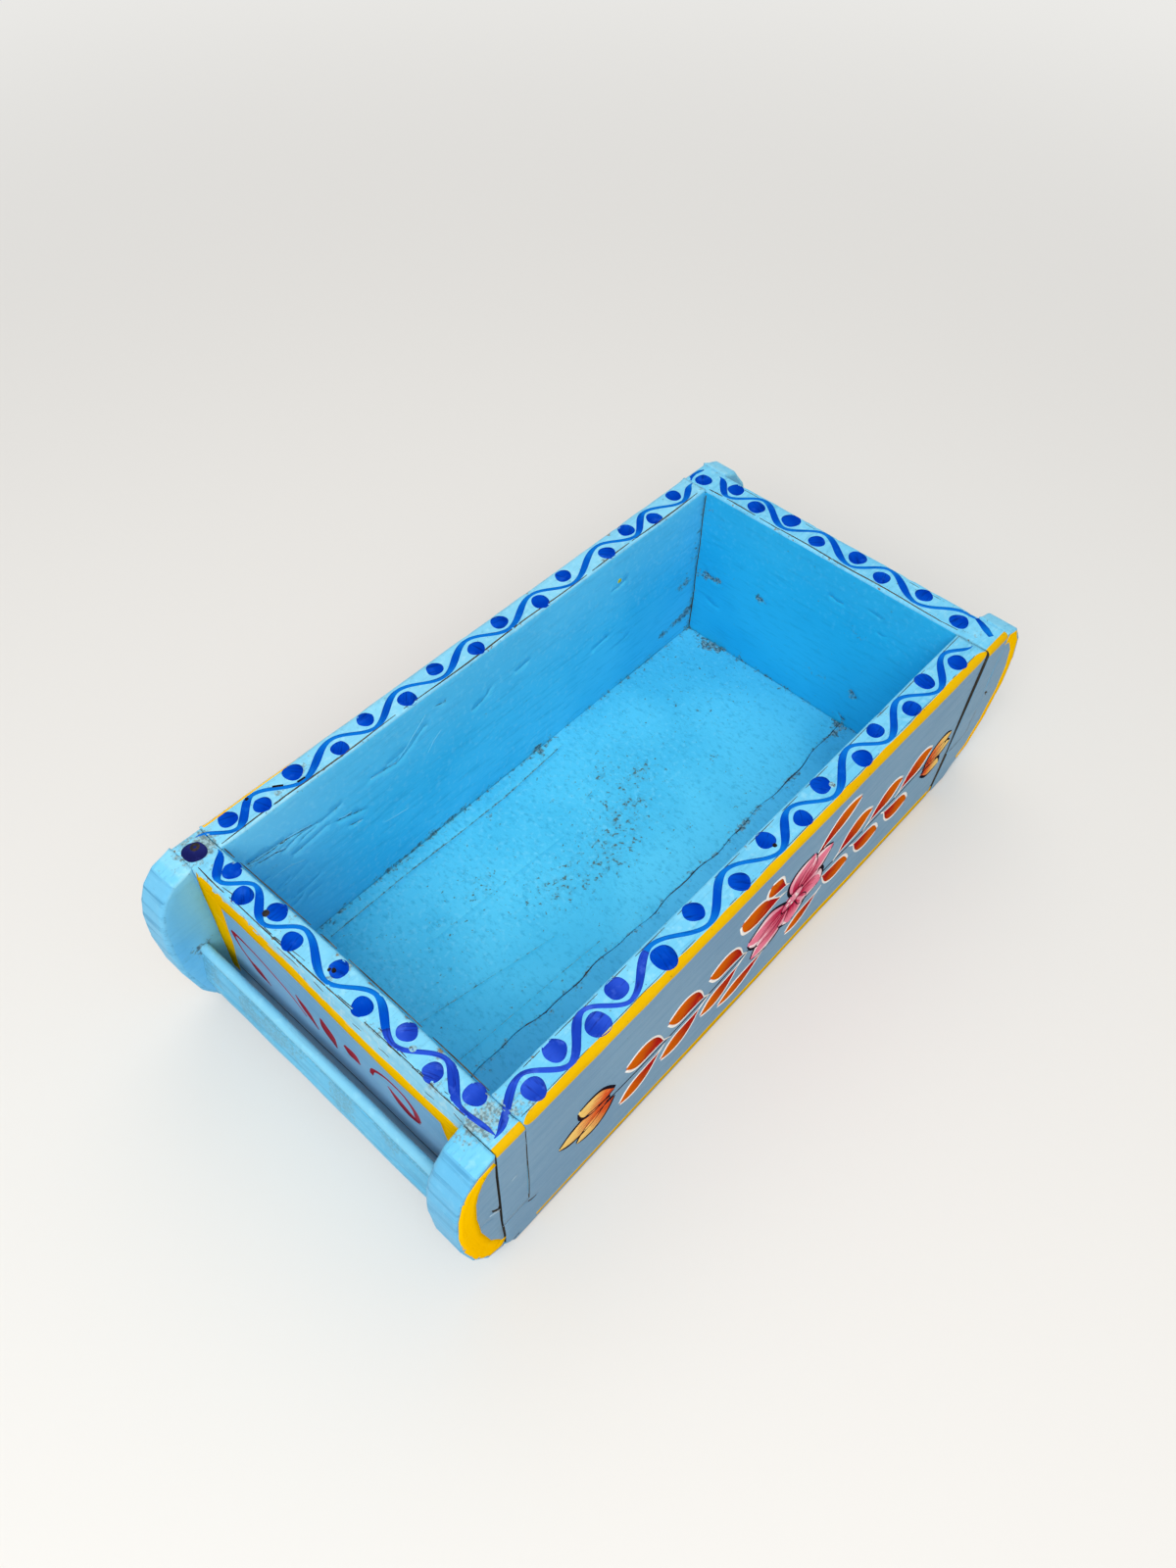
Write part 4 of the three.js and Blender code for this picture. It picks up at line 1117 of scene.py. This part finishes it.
earBands = [  # ear, how far in the band lies, stops along it and its width there
    ("near", -4.3, (0, 0.12, 0.5, 0.85, 1), (4.5, 7, 7.2, 6.2, 3)),
    ("far", 3.2, (0, 0.2, 0.8, 1), (3, 5.4, 6, 4.4)),
]
topLines = {
    "right": [(farFace + 1, rimHeight - 3.4), (farFace + 5, rimHeight - 4.6), (farFace + 8, rimHeight - 5.6)],
    "left": [(-118, rimHeight - 1.9), (-88, rimHeight - 1.9), (0, rimHeight - 3.4), (118, rimHeight - 3.6)],
}
for face, top in topLines.items():
    path, widths = raggedLine([(-117, 3.4), (0, 3.2), (118, 3.3)], (1.8, 3.8, 4, 3.7), 1)
    brushStroke("foot_lines_" + face, "oldYellow", face, path, widths, lift=0.07, columns=3)
    for end, inset, stops, values in earBands:
        edge = np.array(densePath(sawnEar(end), 2))[2:]
        widths = alongStroke(len(edge), stops, values)
        brushStroke("edge_lines_" + face, "yellow", face, edge + acrossPath(edge) * inset, widths)
    path, widths = raggedLine(top, (3.2, 3.2, 3), 3)
    brushStroke("edge_lines_" + face, "yellow", face, path, widths, lift=0.11)

brushStroke("edge_lines_left", "yellow", "rim",
            [(x, leftFace - 1.1) for x in np.linspace(-119, -86, 24)], np.linspace(1.2, 0.7, 24),
            lift=0.1, columns=3)

def throughPoints(points, steps=12):  # a smooth line through a few points
    points = np.array(points, float)
    padded = np.vstack([2 * points[0] - points[1], points, 2 * points[-1] - points[-2]])
    line = []
    for k in range(1, len(padded) - 2):
        a, b, c, d = padded[k - 1:k + 3]
        for share in np.arange(steps) / steps:
            bent = (2 * a - 5 * b + 4 * c - d) * share ** 2 + (3 * b - 3 * c + d - a) * share ** 3
            line.append((2 * b + (c - a) * share + bent) / 2)
    return np.array(line + [points[-1]])

scrolls = [  # points across and up, and how hard the brush was pressed along them
    (((47.5, 57), (46, 59), (39, 58.5), (30, 56), (21, 51), (14.5, 44.5)), (2.0, 1.6, 0.6, 0.55, 0.6, 0.4)),
    (((47.5, 57), (46, 51.5), (42.5, 47), (38, 44), (33, 41)), (1.4, 0.7, 0.8, 3.0, 0.4)),
    (((17, 56), (13.5, 50), (9, 43)), (0.5, 2.6, 0.5)),
    (((5, 56), (3, 49), (0.5, 42)), (1.2, 4.0, 0.8)),
    (((-5, 52), (-8.5, 50), (-11.5, 47.5)), (2.2, 4.4, 0.8)),
    (((-17, 49.5), (-19, 55), (-25, 58.5), (-32, 58), (-36.5, 53), (-37.5, 47)),
     (1.4, 1.0, 0.7, 0.8, 1.6, 2.6)),
    (((-38, 46), (-33, 46), (-29, 48.5), (-25, 53)), (1.6, 2.8, 2.6, 0.5)),
]

for face, drop in (("near", bevelDrop), ("far", lambda y: 3)):
    line = [(y, rimHeight - float(drop(y)) - 3.6) for y in np.linspace(58, -58, 90)]
    path, widths = raggedLine(line, (10, 8.4, 8, 8.6, 9), 4)
    brushStroke("edge_lines_" + face, "oldYellow", face, path, widths)
    for side, reach in ((1, 24), (-1, 44)):
        top = rimHeight - float(drop(side * 55)) - 5
        leg = [(side * 53.4, top), (side * 54.8, (top + reach) / 2), (side * 56.8, reach)]
        path, widths = raggedLine(leg, (10.4, 8, 4 if side > 0 else 2), 6)
        brushStroke("edge_lines_" + face, "oldYellow", face, path, widths, lift=0.11)
    for points, press in scrolls:
        line = throughPoints(points)
        pressed = throughPoints(list(enumerate(press)))[:, 1] * 1.5 + 0.5
        widths = pressed * tapered(len(line), 0.3, 0.4)
        brushStroke("scrolls_" + face, "maroon", face, line, widths, lift=0.07)
dab("paint_splash", "splash", "leftInside", (68.3, 68), 1.1, lift=0.05)
for path, widths, lift in (([(-131.9, 41), (-133.8, 43), (-135.7, 44.4)], (1.0, 0.8, 0.3), 0.3),
                           ([(-126.2, 53.6), (-125, 54.2), (-123.8, 54)], (0.3, 0.6, 0.3), 0.08)):
    brushStroke("ear_splinter", "splinter", "right", path, widths, lift, columns=3)
fineCrack = densePath([(-120.1, 79), (-119.8, 58), (-119.5, 41), (-119.9, 24)], 1.5)
brushStroke("fine_crack", "dirt", "right", fineCrack, 0.4, lift=0.04, columns=3)
cornerHeights = np.arange(floorTop + 1, rimHeight - 2, 1.5)
cornerLine = [(halfWidth - 0.5 + 0.15 * math.sin(z / 5), z) for z in cornerHeights]
brushStroke("corner_dirt", "dirt", "farInside", cornerLine, 0.5, lift=0.05, columns=3)
print("yellow lines and scrolls")

# scores torn in the left wall's paint: points along and up, and whether dirt fills them
wallScores = [
    (((-114.2, 67), (-110.5, 65.6), (-103.1, 65), (-96.2, 64.3), (-88.1, 62.5)), True),
    (((-110, 63.6), (-104, 62.4), (-99, 60.6)), True),
    (((-107.7, 50.5), (-100.5, 50.4), (-93.8, 47.3)), False),
    (((-77.8, 55), (-75.1, 53.9), (-72, 53.7)), True), (((-72.8, 44.8), (-70.6, 45.2), (-68.5, 45.1)), False),
    (((-59.4, 34.6), (-54, 33.1), (-48.2, 32.2)), False),
    (((-62.1, 62.1), (-56.6, 61.8), (-49.8, 61.2)), False),
    (((-49.8, 61.2), (-44.9, 64.7), (-39.6, 69.4), (-34.8, 73.7)), False),
    (((-36, 53.5), (-32, 58.1), (-28.7, 60.3)), False),
]
for row, (points, dirty) in enumerate(wallScores):
    path = wholePath(points, 0.8)
    path[:, 1] += [0.3 * noise.noise(Vector((p[0] / 1.7, row, 4))) for p in path]
    torn = np.array([noise.noise(Vector((p[0] / 1.2, row, 8))) for p in path])
    thin = tapered(len(path), 0.2)
    brushStroke("score_edges", "lifted", "leftInside", path + (0, 0.45),
                np.clip(0.4 + 0.6 * torn, 0.08, 0.9) * thin, lift=0.1, columns=3)
    if dirty:
        brushStroke("score_dirt", "dirt", "leftInside", path - (0, 0.2),
                    np.clip(0.35 - 0.7 * torn, 0.06, 0.8) * thin, lift=0.06, columns=3)
print("scores:", len(wallScores))

# dark lines where dirt sits along the edges of the rim
def nearLine(y):
    return nearFace + 1.5 + 0.4 * float(rubbed(y)) + 0.3 * noise.noise(Vector((y / 14, 1, 2)))

def bevelLine(y, share):
    return rimHeight - share * float(bevelDrop(y)) + 0.9 * noise.noise(Vector((y / 5, share * 9, 6)))

ends = np.linspace(halfWidth - 1, 1 - halfWidth, 160)
lengths = np.linspace(1 - halfLength, halfLength - 1, 320)
dirtLines = [  # face, line along it, width and how much of each line is there
    ("rim", [(nearLine(y), y) for y in ends], 0.45, 0.9),
    ("rim", [(nearLine(y) + 0.9 + 0.5 * math.sin(y / 5), y) for y in ends], 0.3, 0.5),
    ("rim", [(-119.6 + 0.7 * math.cos(y / 40), y) for y in ends], 0.4, 0.85),
    ("rim", [(halfLength + 1.3 + 0.2 * math.sin(y / 6), y) for y in ends], 0.65, 0.9),
    ("rim", [(farFace - 2.2, y) for y in ends], 0.25, 0.4),
    ("rim", [(x, halfWidth + 1.0 + 0.2 * math.sin(x / 9)) for x in lengths], 0.6, 0.9),
    ("rim", [(x, -halfWidth - 1.0) for x in lengths], 0.3, 0.6),
    ("rim", [(x, rightFace + 2.6) for x in lengths], 0.24, 0.7),
    ("near", [(y, bevelLine(y, 0.35)) for y in ends[45:]], 0.4, 0.45),
    ("near", [(y, bevelLine(y, 0.6)) for y in ends[55:]], 0.4, 0.4),
]
shortestRun = 5  # points that a stretch of a line needs to be drawn
for row, (face, line, width, share) in enumerate(dirtLines):
    stays = [noise.noise(Vector((a / 6, b / 6, row * 4.0))) < share * 1.2 - 0.6 for a, b in line]
    run = []
    for point, kept in zip(line + [None], stays + [False]):
        if kept:
            run.append(point)
            continue
        if len(run) >= shortestRun:
            widths = width * tapered(len(run), 0.25)
            brushStroke("rim_dirt_lines", "dirt", face, run, widths, lift=0.04, columns=3)
        run = []

for name, sheet in films.items():
    paint = strokePaints[sheet["paint"]]
    piece = meshPiece(name, sheet["points"], sheet["faces"], None, [paint])
    for key in ("brush", "share"):
        layer = piece.data.attributes.new(key, "FLOAT_VECTOR", "POINT")
        layer.data.foreach_set("vector", np.array(sheet[key], np.float32).ravel())
print("paint films:", len(films))

# The nails

nailShape = {"wobble": 0.06, "sides": 22}
nailLooks = {
    # wrought iron, hammered and rusted: near black with brown bloom and a dull broken sheen
    "iron": {"name": "hammered wrought iron gone brown", "tones": "#221f24 #3e3228", "grainSize": 1.4,
             "detail": 5, "rise": (0.42, 0.66), "bump": 0.5, "metal": 0.7, "roughness": 0.6},
    # paint worn thin over an iron head: pale cyan with dark iron coming through
    "painted": {"name": "pale cyan paint worn off an iron head", "tones": "#86bccc #4c5654",
                "grainSize": 1.1, "detail": 4, "rise": (0.48, 0.6), "bump": 0.4, "metal": 0,
                "roughness": 0.5},
}

def nailMaterial(look):
    material, tree = newTree(look["name"])
    place = addNode(tree, "ShaderNodeTexCoord", out="Object")
    grain = addNode(tree, "ShaderNodeTexNoise", None,
                    {"Vector": place, "Scale": 1000 / look["grainSize"], "Detail": look["detail"]})
    _, colour = coat(tree, grain, look["rise"], 1, *tonesOf(look))
    shade(tree, grain, look["bump"], 0.0002,
          {"Base Color": colour, "Metallic": look["metal"], "Roughness": look["roughness"]})
    return material

nailMaterials = {key: nailMaterial(look) for key, look in nailLooks.items()}

def nail(node, lift, material):  # a hammered head standing a little proud of the rim, on its shank
    low, high = nodeBox(node, middle)
    centre, head = (low + high) / 2, (high[0] - low[0]) / 2
    top = rimHeight + lift
    profile = [(0.05, top - 0.1 * head), (0.35 * head, top), (0.7 * head, top - 0.05 * head),
               (0.95 * head, top - 0.18 * head), (head, top - 0.32 * head), (0.92 * head, top - 0.48 * head),
               (0.5 * head, top - 0.5 * head), (0.48 * head, low[2] + 4), (0.04, low[2])]
    sides = nailShape["sides"]
    points = []
    for radius, z in profile:
        for k in range(sides):
            turn = k / sides * math.tau
            way = np.array([math.cos(turn), math.sin(turn)])
            bent = radius * (1 + nailShape["wobble"] * noise.noise(Vector((3 * way[0], 3 * way[1], z / 3))))
            points.append((*(centre[:2] + way * bent), z))
    faces = closedTube(len(profile) - 1, sides)
    return meshPiece(node + "_head", np.array(points), faces, node, [material])

shownNails = {"corner_nail_near_left": (0.22, "iron"), "rim_tack_near_left": (0.16, "iron"),
              "rim_tack_near_right": (0.16, "painted"), "rim_tack_right": (0.16, "painted")}
for node, (lift, key) in shownNails.items():
    nail(node, lift, nailMaterials[key])
for name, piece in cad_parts.items():
    if "nail" in name or "tack" in name:
        piece.data.materials.clear()
        piece.data.materials.append(nailMaterials["iron"])
print("nails:", len(shownNails), "shown")

# Camera

camera = {"place": (-0.20465, -0.15763, 0.38587), "ahead": (0.46458, 0.3955, -0.79231),
          "right": (0.67147, -0.74064, 0.02401), "lens": 27}
ahead = Vector(camera["ahead"]).normalized()
rightward = (Vector(camera["right"]) - ahead * ahead.dot(Vector(camera["right"]))).normalized()
turned = Matrix((rightward, rightward.cross(ahead), -ahead)).transposed().to_4x4()
cameraData = bpy.data.cameras.new("camera")
cameraData.lens = camera["lens"]
cameraData.sensor_width = 36
cameraPiece = bpy.data.objects.new("camera", cameraData)
cameraPiece.matrix_world = Matrix.Translation(camera["place"]) @ turned
bpy.context.scene.collection.objects.link(cameraPiece)
bpy.context.scene.camera = cameraPiece

# Floor and light

studio = {"floor": "#e6e3dd", "world": "#f4f6fa", "worldStrength": 0.55, "backdrop": "#ecebe8",
          "fadeFrom": 0.35, "fadeTo": 1.1}

def seenRays(tree):  # rays that show the backdrop: straight from the camera, mirrored or let through
    path = addNode(tree, "ShaderNodeLightPath").node.outputs
    seen = path["Is Camera Ray"]
    for kind in ("Is Glossy Ray", "Is Transmission Ray"):
        seen = addNode(tree, "ShaderNodeMath", clampedSum, {0: seen, 1: path[kind]})
    return seen

# paper with a faint tooth, which fades into the backdrop far from the box
floorMaterial, tree = newTree("pale matt studio paper")
paperPlace = addNode(tree, "ShaderNodeTexCoord", out="Object")
paperGrain = addNode(tree, "ShaderNodeTexNoise", None, {"Vector": paperPlace, "Scale": 250.0, "Detail": 4.0})
paperBump = addNode(tree, "ShaderNodeBump", None,
                    {"Height": paperGrain, "Strength": 0.05, "Distance": 0.0005})
paper = addNode(tree, "ShaderNodeBsdfPrincipled", None,
                {"Base Color": linear(studio["floor"]), "Roughness": 0.9, "Normal": paperBump})
reach = addNode(tree, "ShaderNodeVectorMath", {"operation": "LENGTH"}, {0: paperPlace}, "Value")
fade = addNode(tree, "ShaderNodeMapRange", softEdge,
               {"Value": reach, "From Min": studio["fadeFrom"], "From Max": studio["fadeTo"]})
fadeSeen = addNode(tree, "ShaderNodeMath", {"operation": "MULTIPLY"}, {0: fade, 1: seenRays(tree)})
paperFar = addNode(tree, "ShaderNodeEmission", None, {"Color": linear(studio["backdrop"])})
paperMix = addNode(tree, "ShaderNodeMixShader", None, {0: fadeSeen, 1: paper, 2: paperFar})
addNode(tree, "ShaderNodeOutputMaterial", None, {0: paperMix})
floorMesh = bpy.data.meshes.new("studio_floor")
floorMesh.from_pydata([(-4, -4, 0), (4, -4, 0), (4, 4, 0), (-4, 4, 0)], [], [(0, 1, 2, 3)])
floorMesh.materials.append(floorMaterial)
studioFloor = bpy.data.objects.new("studio_floor", floorMesh)
bpy.context.scene.collection.objects.link(studioFloor)

lamps = [  # place, size and power of each soft box
    {"name": "key", "place": (-0.7, -0.42, 1.06), "size": 0.9, "power": 13},
    {"name": "fill", "place": (0.7, 0.5, 1.1), "size": 1.2, "power": 3},
]
for lamp in lamps:
    light = bpy.data.lights.new(lamp["name"], "AREA")
    light.size = lamp["size"]
    light.energy = lamp["power"]
    lampPiece = bpy.data.objects.new(lamp["name"], light)
    lampPiece.location = lamp["place"]
    lampPiece.rotation_euler = (-Vector(lamp["place"])).to_track_quat("-Z", "Y").to_euler()
    bpy.context.scene.collection.objects.link(lampPiece)
world = bpy.data.worlds.new("studio")
world.use_nodes = True
world.node_tree.nodes.clear()
skyTree = world.node_tree
backlight = addNode(skyTree, "ShaderNodeBackground", None,
                    {"Color": linear(studio["world"]), "Strength": studio["worldStrength"]})
backdrop = addNode(skyTree, "ShaderNodeBackground", None, {"Color": linear(studio["backdrop"])})
sky = addNode(skyTree, "ShaderNodeMixShader", None, {0: seenRays(skyTree), 1: backlight, 2: backdrop})
addNode(skyTree, "ShaderNodeOutputWorld", None, {0: sky})
bpy.context.scene.world = world
bpy.context.scene.view_settings.view_transform = "Standard"
